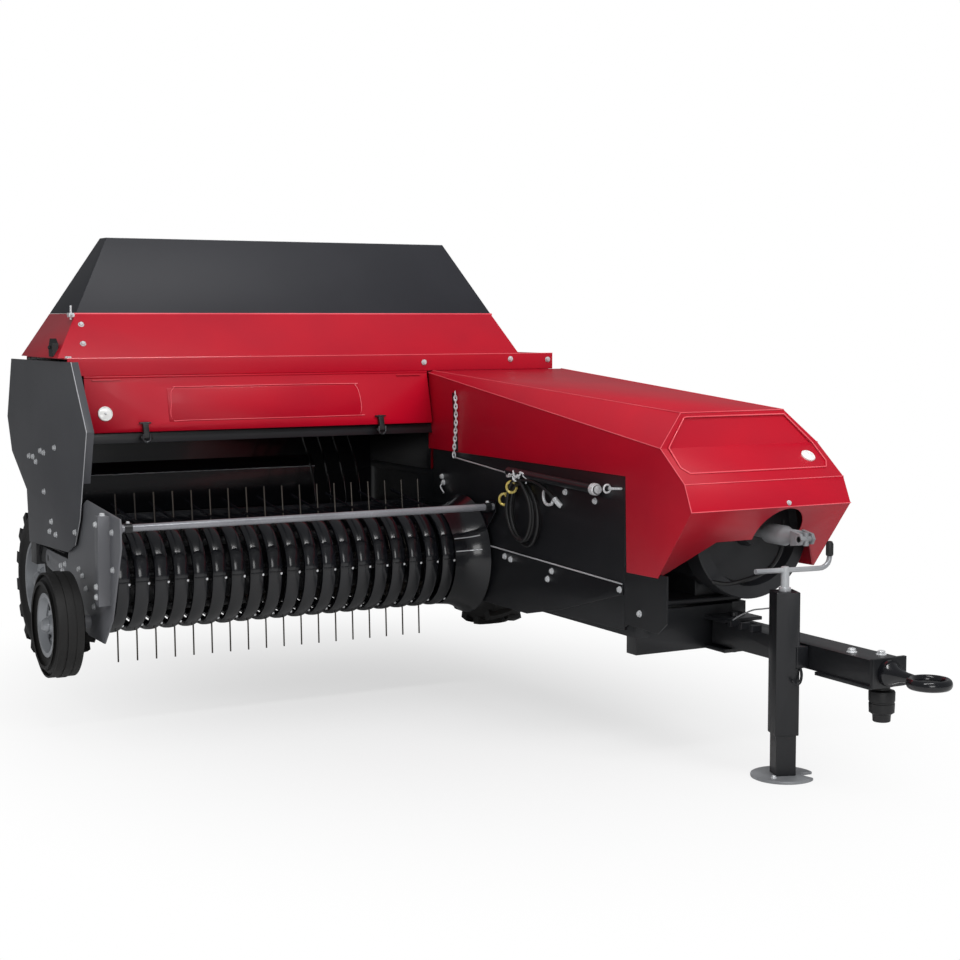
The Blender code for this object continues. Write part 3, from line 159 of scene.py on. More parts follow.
@dataclass(frozen=True)
class Finish:
    """A surface finish and the node material made from it."""

    name: str
    slot: Slot
    colour: str
    shade: str
    roughness: float
    grain: Grain
    metallic: float = 0.0
    coat: float = 0.0
    grain_mm: float = 2.0
    relief_mm: float = 0.03
    patch_mm: float = 240.0
    dust: float = 0.0
    spread: float = 0.06

    def material(self) -> bpy.types.Material:
        """Make the material, or fetch it where it is made already.

        Colour: two shades mixed by a broad cloud, then dust that fades out with height.
        Relief: the grain's own pattern, in real millimetres, as bump.

        Returns:
            The Principled BSDF material of this finish.
        """
        made = bpy.data.materials.get(self.name)
        if made:
            return made
        made = bpy.data.materials.new(self.name)
        made.use_nodes = True
        tree = made.node_tree
        shader = tree.nodes["Principled BSDF"]
        place = add_node(tree, "ShaderNodeTexCoord").outputs["Object"]
        stretch = (1.0, 1.0, DRAWN_STRETCH) if self.grain is Grain.DRAWN else (1.0, 1.0, 1.0)
        mapped = add_node(tree, "ShaderNodeMapping", {"Scale": stretch}, {"Vector": place}).outputs[0]
        cloud = add_node(tree, "ShaderNodeTexNoise", {"Scale": 1.0 / (self.patch_mm * MM), "Detail": 3.0},
                         {"Vector": place}).outputs["Fac"]
        spread = add_node(tree, "ShaderNodeMapRange", {1: CLOUD_LOW, 2: CLOUD_HIGH}, {0: cloud}).outputs[0]
        base = add_node(tree, "ShaderNodeMix", {"A": linear(self.colour), "B": linear(self.shade)},
                        {"Factor": spread}, data_type="RGBA").outputs["Result"]
        fine = add_node(tree, "ShaderNodeTexNoise", {"Scale": 1.0 / (self.grain_mm * MM), "Detail": 4.0},
                        {"Vector": mapped}).outputs["Fac"]
        if self.grain is Grain.ZINC:
            cells = add_node(tree, "ShaderNodeTexVoronoi", {"Scale": 1.0 / (self.grain_mm * MM)},
                             {"Vector": place})
            tint = add_node(tree, "ShaderNodeMapRange", {3: CRYSTAL_DARK, 4: CRYSTAL_PALE},
                            {0: cells.outputs["Color"]}).outputs[0]
            base = add_node(tree, "ShaderNodeMix", {"Factor": 1.0}, {"A": base, "B": tint},
                            data_type="RGBA", blend_type="MULTIPLY").outputs["Result"]
        if self.dust:
            height = add_node(tree, "ShaderNodeSeparateXYZ", None, {0: place}).outputs["Z"]
            fade = {1: 0.0, 2: DUST_TOP, 3: self.dust, 4: 0.0}
            low = add_node(tree, "ShaderNodeMapRange", fade, {0: height}).outputs[0]
            veil = add_node(tree, "ShaderNodeMath", None, {0: low, 1: cloud}, operation="MULTIPLY").outputs[0]
            base = add_node(tree, "ShaderNodeMix", {"B": linear(DUST_COLOUR)}, {"Factor": veil, "A": base},
                            data_type="RGBA").outputs["Result"]
        tree.links.new(base, shader.inputs["Base Color"])
        span = {3: self.roughness - self.spread, 4: self.roughness + self.spread}
        rough = add_node(tree, "ShaderNodeMapRange", span, {0: fine}).outputs[0]
        tree.links.new(rough, shader.inputs["Roughness"])
        shader.inputs["Metallic"].default_value = self.metallic
        shader.inputs["Coat Weight"].default_value = self.coat
        shader.inputs["Coat Roughness"].default_value = COAT_ROUGHNESS
        if self.relief_mm:
            bump = add_node(tree, "ShaderNodeBump", {"Strength": 1.0, "Distance": self.relief_mm * MM},
                            {"Height": fine}).outputs[0]
            tree.links.new(bump, shader.inputs["Normal"])
        return made


# Baked red powder coat on folded steel: deep red, satin, with a thin clear top and a faint orange peel
RED = Finish("red_powder_coated_steel", Slot.RED, "B2001F", "AA0220", 0.42, Grain.SPRAYED, coat=0.06,
             grain_mm=3.0, relief_mm=0.02)
# The same red lightened into a pale line: a painted highlight for the light caught on folds, edges and beads
RED_HIGHLIGHT = Finish("red_painted_highlight", Slot.RED, "E4626C", "D84C58", 0.30, Grain.SPRAYED, coat=0.3,
                  relief_mm=0.0)
# A pale grey line on edges and folds of grey and black coats: a painted highlight for the light they catch
PALE_HIGHLIGHT = Finish("pale_painted_highlight", Slot.GREY, "B9BABD", "A2A3A6", 0.30, Grain.SPRAYED, coat=0.3,
                   relief_mm=0.0)
# Charcoal powder coat, satin: the hood's top reads soft grey where the light falls on it
CHARCOAL = Finish("charcoal_powder_coated_steel", Slot.BLACK, "26272C", "232429", 0.50, Grain.SPRAYED,
                  grain_mm=3.0, relief_mm=0.03)
# Black gloss enamel of the pickup's bands, the feed house and the towing eye: near black, with bright lights
ENAMEL = Finish("black_gloss_enamel", Slot.BLACK, "0B0C0F", "101115", 0.20, Grain.SPRAYED, coat=0.25,
                grain_mm=4.0, relief_mm=0.015)
# Black powder coat of the frame, less gloss than the enamel
FRAME_BLACK = Finish("black_powder_coated_steel", Slot.BLACK, "17181B", "131417", 0.38, Grain.SPRAYED,
                     coat=0.10, grain_mm=3.0, relief_mm=0.02)
# Silver-grey lacquered tube of the wind guard; its colour is lifted above the tube's own mid-grey as a
# painted highlight
TUBE_GREY = Finish("grey_lacquered_tube_painted_bright", Slot.GREY, "94959A", "84858A", 0.26, Grain.SPRAYED, metallic=0.4,
                   coat=0.3, grain_mm=3.0, relief_mm=0.01)
# Phosphated steel of the joint yoke and the jack's foot: pale grey and dull
PHOSPHATED = Finish("phosphated_forging", Slot.STEEL, "A8AAAD", "85878A", 0.46, Grain.CAST, metallic=0.30,
                    grain_mm=3.0, relief_mm=0.10)
# Grey powder coat of the end plate, satin
GREY = Finish("grey_powder_coated_steel", Slot.GREY, "48494D", "434448", 0.42, Grain.SPRAYED,
              grain_mm=3.0, relief_mm=0.03)
# Grey powder coat of the pickup's side plate, satin, a lighter copy of the end plate's grey: painted light
# for the direct light on the plate
LIT_PLATE_GREY = Finish("grey_powder_painted_lighter", Slot.GREY, "6C6D71", "66676B", 0.40, Grain.SPRAYED,
                    grain_mm=3.0, relief_mm=0.03)
# Moulded tyre rubber: matt, with a little pale dust low down
TYRE = Finish("moulded_tyre_rubber", Slot.TYRE, "080809", "0C0C0D", 0.60, Grain.MOULDED, grain_mm=5.0,
              relief_mm=0.12, dust=0.06, spread=0.1)
# Silver lacquer on pressed wheel discs
RIM = Finish("silver_lacquered_wheel_steel", Slot.RIM, "B4B7BB", "A6A9AD", 0.34, Grain.SPRAYED, metallic=0.60,
             coat=0.2, grain_mm=2.0, relief_mm=0.02)
# Hot-dip zinc on bolts, chain and fittings: pale zinc, made near white as a painted highlight for the glints
# of small parts, with crystals drawn at 4 mm so that they show
ZINC = Finish("galvanised_steel_painted_bright", Slot.STEEL, "E6E8EA", "D2D4D6", 0.36, Grain.ZINC, metallic=0.30,
              grain_mm=4.0, relief_mm=0.03)
# Drawn spring steel of the tines and the tension springs, dark from tempering
SPRING = Finish("tempered_spring_steel", Slot.STEEL, "55504A", "3F3C39", 0.38, Grain.DRAWN, metallic=0.8,
                grain_mm=3.0, relief_mm=0.02)
# Painted cast iron: sand-cast skin under black paint
CAST = Finish("painted_cast_iron", Slot.IRON, "1C1D20", "242528", 0.48, Grain.CAST, coat=0.1, grain_mm=3.5,
              relief_mm=0.30)
# Forged and blackened steel of the latches' brackets and pulls, worn bright in places
FORGED = Finish("forged_blackened_steel", Slot.IRON, "2A2A2C", "515255", 0.34, Grain.CAST, metallic=0.6,
                grain_mm=5.0, relief_mm=0.12, patch_mm=45.0)
# Moulded black rubber of hoses, latches and the cable socket
RUBBER = Finish("moulded_black_rubber", Slot.RUBBER, "131314", "1A1A1B", 0.50, Grain.MOULDED, grain_mm=1.5,
                relief_mm=0.03)
# Yellow chromated zinc on the shackles
YELLOW = Finish("yellow_chromated_zinc", Slot.STEEL, "D9C25E", "C8B878", 0.30, Grain.ZINC, metallic=0.35,
                grain_mm=5.0, relief_mm=0.01, patch_mm=12.0)
# White prismatic reflector lens in clear moulded plastic
LENS = Finish("white_reflector_lens", Slot.RIM, "F2F2F0", "E4E4E2", 0.18, Grain.CLEAR, coat=0.8, grain_mm=2.5,
              relief_mm=0.10)
# Zinc-plated wire and rod: the cord, the cable and the jack's crank
WIRE = Finish("zinc_plated_wire", Slot.STEEL, "C6C8CA", "9A9CA0", 0.32, Grain.DRAWN, metallic=0.45,
              grain_mm=2.0, relief_mm=0.05)


@dataclass
class Surface:
    """Points (N, 3) and the faces that join them, as lists of point numbers."""

    points: Array
    faces: list

    def moved(self, offset: Point) -> "Surface":
        """The same surface, shifted."""
        return Surface(self.points + np.asarray(offset, float), self.faces)

    def facing(self, direction: Point) -> "Surface":
        """Turn the surface so that its +Z looks along a direction.

        Args:
            direction: Where +Z goes.

        Returns:
            The turned surface: point = x * first + y * second + z * direction.
        """
        ahead = unit(np.asarray(direction, float))
        helper = np.array([0.0, 0.0, 1.0]) if abs(ahead[2]) < 0.9 else np.array([0.0, 1.0, 0.0])
        first = unit(np.cross(helper, ahead))
        return Surface(self.points @ np.stack([first, np.cross(ahead, first), ahead]), self.faces)

    def repeated(self, offsets: Array) -> "Surface":
        """Copies of the surface, one at each offset.

        Args:
            offsets: Shifts (K, 3).

        Returns:
            All copies as one surface: point = own point + offset.
        """
        offsets = np.asarray(offsets, float).reshape(-1, 3)
        count = len(self.points)
        points = (self.points[None] + offsets[:, None]).reshape(-1, 3)
        return Surface(points, [[i + k * count for i in f] for k in range(len(offsets)) for f in self.faces])


def unit(vectors: Array) -> Array:
    """Scale vectors to a length of one."""
    return vectors / np.maximum(np.linalg.norm(vectors, axis=-1, keepdims=True), 1e-12)


def joined(*parts: Surface) -> Surface:
    """Put several surfaces into one.

    Args:
        *parts: Surfaces to join.

    Returns:
        One surface, with the point numbers of later parts shifted past the earlier ones.
    """
    starts = np.cumsum([0] + [len(p.points) for p in parts])
    faces = [[i + int(start) for i in f] for p, start in zip(parts, starts) for f in p.faces]
    return Surface(np.concatenate([p.points for p in parts]), faces)


def grid(points: Array, wrap_rows: bool = False, wrap_cols: bool = False, caps: bool = False) -> Surface:
    """Join a grid of points (R, C, 3) by four-sided faces.

    Args:
        points: The grid.
        wrap_rows: Join the last row to the first.
        wrap_cols: Join the last column to the first.
        caps: Close the first and the last row by one face each.

    Returns:
        The surface: face (i, j) joins points (i, j), (i, j+1), (i+1, j+1) and (i+1, j).
    """
    rows, cols = points.shape[:2]
    i, j = np.meshgrid(np.arange(rows if wrap_rows else rows - 1), np.arange(cols if wrap_cols else cols - 1),
                       indexing="ij")
    below, right = (i + 1) % rows, (j + 1) % cols
    quads = np.stack([i * cols + j, i * cols + right, below * cols + right, below * cols + j], -1)
    faces = quads.reshape(-1, 4).tolist()
    if caps:
        faces += [list(range(cols))[::-1], [(rows - 1) * cols + k for k in range(cols)]]
    return Surface(points.reshape(-1, 3), faces)


def circle(radius: float, sides: int) -> Array:
    """Points (cos a, sin a) * radius at even angles."""
    a = np.linspace(0.0, 2 * np.pi, sides, endpoint=False)
    return radius * np.stack([np.cos(a), np.sin(a)], -1)


def sweep(path: Array, section: Array, closed: bool = False, side: Optional[Array] = None) -> Surface:
    """Carry a closed section along a path.

    Point = path + u * side + v * up, where side is square to the path and to the direction in which
    the path spreads least, and up is square to both. A path that isn't flat brings its own side.

    Args:
        path: Points (N, 3).
        section: (M, 2), or (N, M, 2) where it changes along the path.
        closed: The path's end meets its start.
        side: The direction of u at each point (N, 3).

    Returns:
        The tube-like surface, capped where it is open.
    """
    path = np.asarray(path, float)
    ahead = np.roll(path, -1, 0) - np.roll(path, 1, 0) if closed else np.gradient(path, axis=0)
    along = unit(ahead)
    if side is None:
        side = np.cross(along, np.linalg.svd(path - path.mean(0))[2][-1])
    side = unit(side)
    up = np.cross(side, along)
    section = np.broadcast_to(section, (len(path), *np.shape(section)[-2:]))
    points = path[:, None] + section[..., :1] * side[:, None] + section[..., 1:] * up[:, None]
    return grid(points, wrap_rows=closed, wrap_cols=True, caps=not closed)


def tube(path: Sequence[Point], radius: float, sides: int = 14, closed: bool = False) -> Surface:
    """A round bar along a path."""
    return sweep(np.asarray(path, float), circle(radius, sides), closed)


def curve(points: Sequence[Point], count: int = 40, closed: bool = False) -> Array:
    """A smooth path through points.

    It is made of cubic pieces, whose slope at a point is half the step between its two neighbours.

    Args:
        points: Points that the path goes through.
        count: How many points the path has.
        closed: Whether it comes back to its start.

    Returns:
        The path (count, 3).
    """
    p = np.asarray(points, float)
    ends = (p[-1:], p[:2]) if closed else (2 * p[:1] - p[1:2], 2 * p[-1:] - p[-2:-1])
    q = np.concatenate([ends[0], p, ends[1]])
    spans = len(p) if closed else len(p) - 1
    t = np.linspace(0.0, spans, count, endpoint=not closed)
    k = np.minimum(t.astype(int), spans - 1)
    f = (t - k)[:, None]
    a, b, c, d = q[k], q[k + 1], q[k + 2], q[k + 3]
    cubic = (3 * b - a - 3 * c + d) * f ** 3
    return 0.5 * (2 * b + (c - a) * f + (2 * a - 5 * b + 4 * c - d) * f ** 2 + cubic)


def coil(start: Point, end: Point, radius: float, turns: float, wire: float, sides: int = 8) -> Surface:
    """A coil spring: a wire at an even pitch round the line from start to end.

    Centre of the wire = line + radius * (cos a, sin a), with a rising evenly from 0 to turns * 360 degrees.

    Args:
        start: One end of the coil's middle line.
        end: The other end.
        radius: Radius of the wire's centre.
        turns: Number of turns.
        wire: Radius of the wire.
        sides: Facets round the wire.

    Returns:
        The spring's surface.
    """
    start, end = np.asarray(start, float), np.asarray(end, float)
    ahead = unit(end - start)
    helper = np.array([0.0, 0.0, 1.0]) if abs(ahead[2]) < 0.9 else np.array([0.0, 1.0, 0.0])
    first = unit(np.cross(helper, ahead))
    second = np.cross(ahead, first)
    f = np.linspace(0.0, 1.0, int(turns * 16) + 1)[:, None]
    a = 2 * np.pi * turns * f
    out = np.cos(a) * first + np.sin(a) * second
    return sweep(start + f * (end - start) + radius * out, circle(wire, sides), side=out)


def lathe(profile: Sequence[Point], axis: Axis, centre: Point, steps: int = 48,
          closed: bool = True) -> Surface:
    """Turn a profile of (along, radius) round an axis.

    Point = centre + along * axis + radius * (cos a * first + sin a * second).

    Args:
        profile: The section; an open one starts and ends on the axis.
        axis: What it turns round.
        centre: Where along = 0 lies.
        steps: Facets round the axis.
        closed: The section's last point joins its first.

    Returns:
        The turned surface.
    """
    p = np.asarray(profile, float)
    ahead = np.array(axis.value)
    first = np.array(Axis.Y.value) if axis is not Axis.Y else np.array(Axis.Z.value)
    second = np.cross(ahead, first)
    ring = circle(1.0, steps)
    out = ring[:, :1] * first + ring[:, 1:] * second
    points = np.asarray(centre, float) + p[None, :, :1] * ahead + p[None, :, 1:] * out[:, None]
    return grid(points, wrap_rows=True, wrap_cols=closed)


def extrude(outline: Sequence[Point], axis: Axis, low: float, high: float) -> Surface:
    """Push an outline along an axis: given as y, z along X, as x, z along Y or as x, y along Z.

    Args:
        outline: Corner points.
        axis: Direction of the push.
        low: Where it starts.
        high: Where it ends.

    Returns:
        A closed prism.
    """
    flat = np.asarray(outline, float)
    place = {Axis.X: 0, Axis.Y: 1, Axis.Z: 2}[axis]
    rings = np.stack([np.insert(flat, place, height, axis=1) for height in (low, high)])
    return grid(rings, wrap_cols=True, caps=True)


def box(low: Point, high: Point) -> Surface:
    """A block between two corners."""
    return extrude([(low[0], low[1]), (high[0], low[1]), (high[0], high[1]), (low[0], high[1])], Axis.Z,
                   low[2], high[2])


def chain(path: Array, pitch: float = 0.0165, wire: float = 0.0024) -> Surface:
    """Short-link chain along a path, each link turned a quarter from the last.

    Args:
        path: Points (N, 3) of the chain's middle line.
        pitch: Distance from link to link.
        wire: Radius of the wire.

    Returns:
        All links: point = place + cos a * along * 0.75 pitch + sin a * across * 0.34 pitch.
    """
    steps = np.linalg.norm(np.diff(path, axis=0), axis=1)
    run = np.concatenate([[0.0], np.cumsum(steps)])
    at = np.arange(0.5 * pitch, run[-1], pitch)
    places = np.stack([np.interp(at, run, path[:, k]) for k in range(3)], -1)
    ahead = np.stack([np.interp(at + 0.3 * pitch, run, path[:, k]) for k in range(3)], -1)
    along = unit(ahead - places + 1e-9)
    first = unit(np.cross(along, np.array([1.0, 0.2, 0.1])))
    second = np.cross(along, first)
    across = np.where((np.arange(len(at)) % 2)[:, None] == 0, unit(first + second), unit(first - second))
    a = np.linspace(0, 2 * np.pi, 16, endpoint=False)[:, None]
    rings = [p + 0.75 * pitch * np.cos(a) * u + 0.34 * pitch * np.sin(a) * v
             for p, u, v in zip(places, along, across)]
    return joined(*[tube(ring, wire, 7, closed=True) for ring in rings])


def bolts(places: Sequence[Point], facing: Point, size: float = 0.011) -> Surface:
    """Hexagon heads on round washers.

    Args:
        places: Where they sit on the surface.
        facing: Where the heads point.
        size: Radius of the washer.

    Returns:
        All of them as one surface.
    """
    washer = [(0.0, 0.0), (0.0, 1.0), (0.14, 1.0), (0.20, 0.94), (0.20, 0.0)]
    head = [(0.10, 0.0), (0.10, 0.78), (0.66, 0.78), (0.80, 0.62), (0.86, 0.0)]
    one = joined(*[lathe(np.array(p) * size, Axis.Z, (0, 0, 0), steps, closed=False)
                   for p, steps in ((washer, 18), (head, 6))])
    return one.facing(facing).repeated(np.asarray(places, float))


def reflector(radius: float) -> Surface:
    """A round reflector that faces +Z: a raised rim round a domed lens, turned from its section.

    Args:
        radius: Radius of the rim.

    Returns:
        The reflector, with its back at height 0.
    """
    section = [(0.0, 0.0), (0.0, radius), (0.005, radius), (0.007, radius - 0.0025), (0.005, radius - 0.004),
               (0.008, radius - 0.012), (0.0095, 0.0)]
    return lathe(section, Axis.Z, (0, 0, 0), 36, closed=False)


class SubAssembly:
    """A group of pieces that share how they are made, dressed and hung on their bodies."""

    def put(self, name: str, shape: Surface, finish: Finish, body: str, stands_for: Sequence[str] = (),
            bevel: float = 0.0, sharp: float = 35.0) -> bpy.types.Object:
        """Make a piece from a surface.

        Args:
            name: The piece's name.
            shape: Its surface.
            finish: Its finish.
            body: The body that carries it.
            stands_for: CAD nodes that it replaces.
            bevel: Width of its rounded edges.
            sharp: Angle past which an edge stays sharp, in degrees.

        Returns:
            The finished object.
        """
        mesh = bpy.data.meshes.new(name)
        mesh.from_pydata(shape.points.tolist(), [], shape.faces)
        form = bmesh.new()
        form.from_mesh(mesh)
        bmesh.ops.remove_doubles(form, verts=form.verts, dist=1e-6)
        bmesh.ops.dissolve_degenerate(form, dist=1e-6, edges=form.edges)
        bmesh.ops.recalc_face_normals(form, faces=form.faces)
        form.to_mesh(mesh)
        form.free()
        return self.finish_piece(name, mesh, finish, body, stands_for, bevel, sharp)

    def finish_piece(self, name: str, mesh: bpy.types.Mesh, finish: Finish, body: str,
                     stands_for: Sequence[str], bevel: float, sharp: float) -> bpy.types.Object:
        """Dress a mesh, round its edges and hang it on its body.

        Args:
            name: The piece's name.
            mesh: Its mesh, in the frame.
            finish: Its finish.
            body: The body that carries it.
            stands_for: CAD nodes that it replaces.
            bevel: Width of its rounded edges.
            sharp: Angle past which an edge stays sharp, in degrees.

        Returns:
            The finished object.
        """
        mesh.shade_smooth()
        thing = bpy.data.objects.new(name, mesh)
        bpy.context.scene.collection.objects.link(thing)
        mesh.materials.clear()
        mesh.materials.append(finish.material())
        if bevel:
            edge = thing.modifiers.new("soft_edges", "BEVEL")
            edge.width = bevel
            edge.segments = 2
            edge.limit_method = "ANGLE"
            edge.angle_limit = math.radians(sharp)
            edge.harden_normals = True
        else:
            mesh.set_sharp_from_angle(angle=math.radians(sharp))
        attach(thing, body)
        if stands_for:
            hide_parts(*stands_for)
        LOG.info("%s: %d points on %s", name, len(mesh.vertices), body)
        return thing

    def soften(self, node: str, finish: Finish, width: float = 0.0015) -> bpy.types.Object:
        """Show a copy of a CAD node with rounded edges, as bent and cut metal has.

        The copy's loose triangles are merged, and those that lie in one plane become one face.

        Args:
            node: The CAD node.
            finish: Its finish.
            width: Width of the rounded edges.

        Returns:
            The piece that stands for the node.
        """
        source = frame["nodes"][node]
        form = bmesh.new()
        form.from_mesh(source.data)
        bmesh.ops.remove_doubles(form, verts=form.verts, dist=1e-5)
        bmesh.ops.dissolve_limit(form, angle_limit=math.radians(0.6), verts=form.verts, edges=form.edges)
        mesh = bpy.data.meshes.new(node + "_soft")
        form.to_mesh(mesh)
        form.free()
        return self.finish_piece(node + "_soft", mesh, finish, source["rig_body"], [node], width, 40.0)

    def build(self) -> None:
        """Make every piece of the group."""
        raise NotImplementedError


@dataclass
class Hood(SubAssembly):
    """Hood, deck and the drive housing beside it."""

    seam: tuple = (0.300, 1.514)
    seam_ends: tuple = (-1.056, 0.791)
    lip: float = 0.006
    top: tuple = (0.4310, 1.815)
    top_ends: tuple = (-0.884, 0.614)
    top_highlight_radius: float = 0.0016
    strip: tuple = (0.1002, 1.3452)
    strip_ends: tuple = (-1.140, 0.979)
    strip_highlight: float = 0.0018
    skirt_slope: tuple = (0.0, -0.748, 0.664)
    skirt_bolts: tuple = ((-1.040, 0.262, 1.471), (-1.052, 0.197, 1.398))
    strip_bolts: tuple = ((-1.118, 0.0995, 1.301), (0.357, 0.0995, 1.313), (0.770, 0.0995, 1.322),
                          (0.955, 0.0995, 1.318))
    deck_bolts: tuple = ((-1.128, 0.115, 1.3447), (-1.128, 0.150, 1.3447), (-1.128, 0.310, 1.3447),
                         (-1.128, 0.470, 1.3447), (-1.128, 0.620, 1.3447))
    catch_pin: tuple = ((-1.072, 0.250, 1.508), (-1.072, 0.330, 1.512))
    catch_handle: tuple = ((-1.072, 0.290, 1.490), (-1.072, 0.288, 1.545))
    catch_block: tuple = ((-1.082, 0.276, 1.500), (-1.062, 0.304, 1.516))
    latch_side: tuple = ((0.215, 1.350), (0.265, 1.350), (0.272, 1.385), (0.250, 1.420), (0.222, 1.400))
    latch_ends: tuple = (-1.166, -1.140)
    latch_pin: tuple = ((-1.175, 0.243, 1.385), (-1.130, 0.243, 1.385))

    def build(self) -> None:
        """Sheet metal with soft edges, the seam's lip, painted highlight lines and fasteners."""
        self.soften("hood_skirt", RED, 0.002)
        self.soften("hood_top", CHARCOAL, 0.003)
        self.soften("deck", RED, 0.0015)
        self.soften("drive_housing", RED, 0.004)
        self.build_lips()
        self.build_fittings()

    def build_lips(self) -> None:
        """Folded lip along the seam in the painted-highlight red, and painted highlight lines on the fold at
        the top and on that of the deck's front strip.
        """
        (y, z), t = self.seam, self.lip
        side = [(y - 0.004, z - t), (y + 0.002, z - t), (y + 0.006, z + 0.002), (y + 0.001, z + 0.003)]
        # Painted highlight: the lip is coloured in the lightened red
        self.put("hood_seam_lip", extrude(side, Axis.X, *self.seam_ends), RED_HIGHLIGHT, "machine", bevel=0.001)
        y, z = self.top
        # Painted highlight: a pale line along the top's fold
        top = tube([(x, y, z - self.top_highlight_radius) for x in self.top_ends], self.top_highlight_radius, LINE_SIDES)
        self.put("hood_top_highlight", top, PALE_HIGHLIGHT, "machine")
        # Painted highlight: a light red line along the strip's fold
        strip = tube([(x, *self.strip) for x in self.strip_ends], self.strip_highlight, LINE_SIDES)
        self.put("strip_highlight", strip, RED_HIGHLIGHT, "machine")

    def build_fittings(self) -> None:
        """Bolts of the skirt's right end, the strip and the deck, with the latch and its catch."""
        self.put("hood_bolts", bolts(self.skirt_bolts, self.skirt_slope, WASHER), ZINC, "machine")
        self.put("strip_bolts", bolts(self.strip_bolts, AHEAD, WASHER), ZINC, "machine")
        self.put("deck_bolts", bolts(self.deck_bolts, UPWARDS, SMALL_WASHER), ZINC, "machine")
        catch = joined(tube(self.catch_pin, 0.005), tube(self.catch_handle, 0.004), box(*self.catch_block))
        self.put("hood_catch", catch, ZINC, "machine", bevel=0.001)
        latch = joined(extrude(self.latch_side, Axis.X, *self.latch_ends), tube(self.latch_pin, 0.006))
        self.put("hood_latch", latch, RUBBER, "machine", bevel=0.002)


@dataclass
class FrontDoor(SubAssembly):
    """Door of the feed house with its pressed outline, reflector, hinges and latches.

    Places on the panel are given as x and as height, 0 at the foot and 1 at the hinge.
    """

    right: float = -1.080
    left: float = 0.368
    top: tuple = (0.098, 1.2727)
    bottom: tuple = (0.046, 1.065)
    bead_corners: tuple = ((-0.745, 0.20), (-0.650, 0.185), (0.0, 0.185), (0.045, 0.22), (0.052, 0.50),
                           (0.035, 0.76), (-0.02, 0.80), (-0.660, 0.80), (-0.735, 0.77), (-0.748, 0.50))
    bead_proud: float = 0.0025
    bead_radius: float = 0.0018
    fold_height: float = 0.990
    fold_inset: float = 0.004
    fold_highlight_radius: float = 0.0017
    reflector_place: tuple = (-1.010, 0.34)
    reflector_radius: float = 0.028
    screw: tuple = ((0.0, 0.0), (0.0, 0.005), (0.003, 0.004), (0.0035, 0.0))
    screw_proud: float = 0.010
    latches: tuple = (("right", -0.860), ("left", 0.130))
    latch_plate: tuple = ((-0.022, 0.0385, 1.096), (0.022, 0.0560, 1.1015))
    latch_pull: tuple = ((-0.014, 0.0285, 1.058), (-0.014, 0.0270, 1.036), (0.0, 0.0265, 1.026),
                         (0.014, 0.0270, 1.036), (0.014, 0.0285, 1.058))
    pull_radius: float = 0.0045
    strap_side: tuple = ((0.0885, 1.2600), (0.0945, 1.2600), (0.0985, 1.2655), (0.0905, 1.2655))
    strap_starts: tuple = (-1.050, 0.225)
    strap_width: float = 0.110

    def on_panel(self, x: float, height: float, proud: float = 0.0) -> tuple[float, float, float]:
        """Place a point on the leaning panel.

        Args:
            x: Place across the machine.
            height: 0 at the foot, 1 at the hinge.
            proud: How far it stands off the panel.

        Returns:
            The point: foot + height * (hinge - foot) + proud * the panel's normal.
        """
        dy, dz = self.top[0] - self.bottom[0], self.top[1] - self.bottom[1]
        size = math.hypot(dy, dz)
        return (x, self.bottom[0] + height * dy - proud * dz / size,
                self.bottom[1] + height * dz + proud * dy / size)

    def build(self) -> None:
        """Panel, pressed bead, reflector, latches and hinge straps."""
        self.soften("door", RED, 0.001)
        self.build_folds()
        self.build_reflector()
        for side, x in self.latches:
            self.build_latch(side, x)
        straps = [extrude(self.strap_side, Axis.X, x, x + self.strap_width) for x in self.strap_starts]
        self.put("hinge_straps", joined(*straps), RED, "front_door", bevel=0.0008)

    def build_folds(self) -> None:
        """The bead pressed into the panel, coloured in the painted-highlight red, and a painted highlight
        line on the fold at its top.
        """
        # Painted highlight: the bead is coloured in the lightened red
        bead = curve([self.on_panel(x, h, self.bead_proud) for x, h in self.bead_corners], 160, closed=True)
        self.put("door_bead_highlight", tube(bead, self.bead_radius, LINE_SIDES, closed=True), RED_HIGHLIGHT, "front_door",
                 sharp=60.0)
        # Painted highlight: a light red line along the top fold
        ends = (self.right + self.fold_inset, self.left - self.fold_inset)
        edge = tube([self.on_panel(x, self.fold_height, 0.0005) for x in ends], self.fold_highlight_radius, LINE_SIDES)
        self.put("door_top_highlight", edge, RED_HIGHLIGHT, "front_door")

    def build_reflector(self) -> None:
        """Round reflector and the screw in its middle, square to the panel."""
        out = np.subtract(self.on_panel(0, 0, 1), self.on_panel(0, 0, 0))
        lens = reflector(self.reflector_radius).facing(out).moved(self.on_panel(*self.reflector_place))
        self.put("door_reflector", lens, LENS, "front_door")
        hub = lathe(self.screw, Axis.Z, (0, 0, 0), 14, closed=False)
        place = self.on_panel(*self.reflector_place, self.screw_proud)
        self.put("reflector_screw", hub.facing(out).moved(place), ZINC, "front_door")

    def build_latch(self, side: str, x: float) -> None:
        """Rubber latch with its bracket and wire pull.

        Args:
            side: The latch's name, right or left.
            x: Its place across the machine.
        """
        self.soften("door_latch_" + side, RUBBER, 0.002)
        low, high = np.add(self.latch_plate, (x, 0.0, 0.0))
        self.put("latch_bracket_" + side, box(low, high), FORGED, "front_door", bevel=0.001)
        pull = curve(np.add(self.latch_pull, (x, 0.0, 0.0)), 24)
        self.put("latch_pull_" + side, tube(pull, self.pull_radius, LINE_SIDES), FORGED, "front_door")


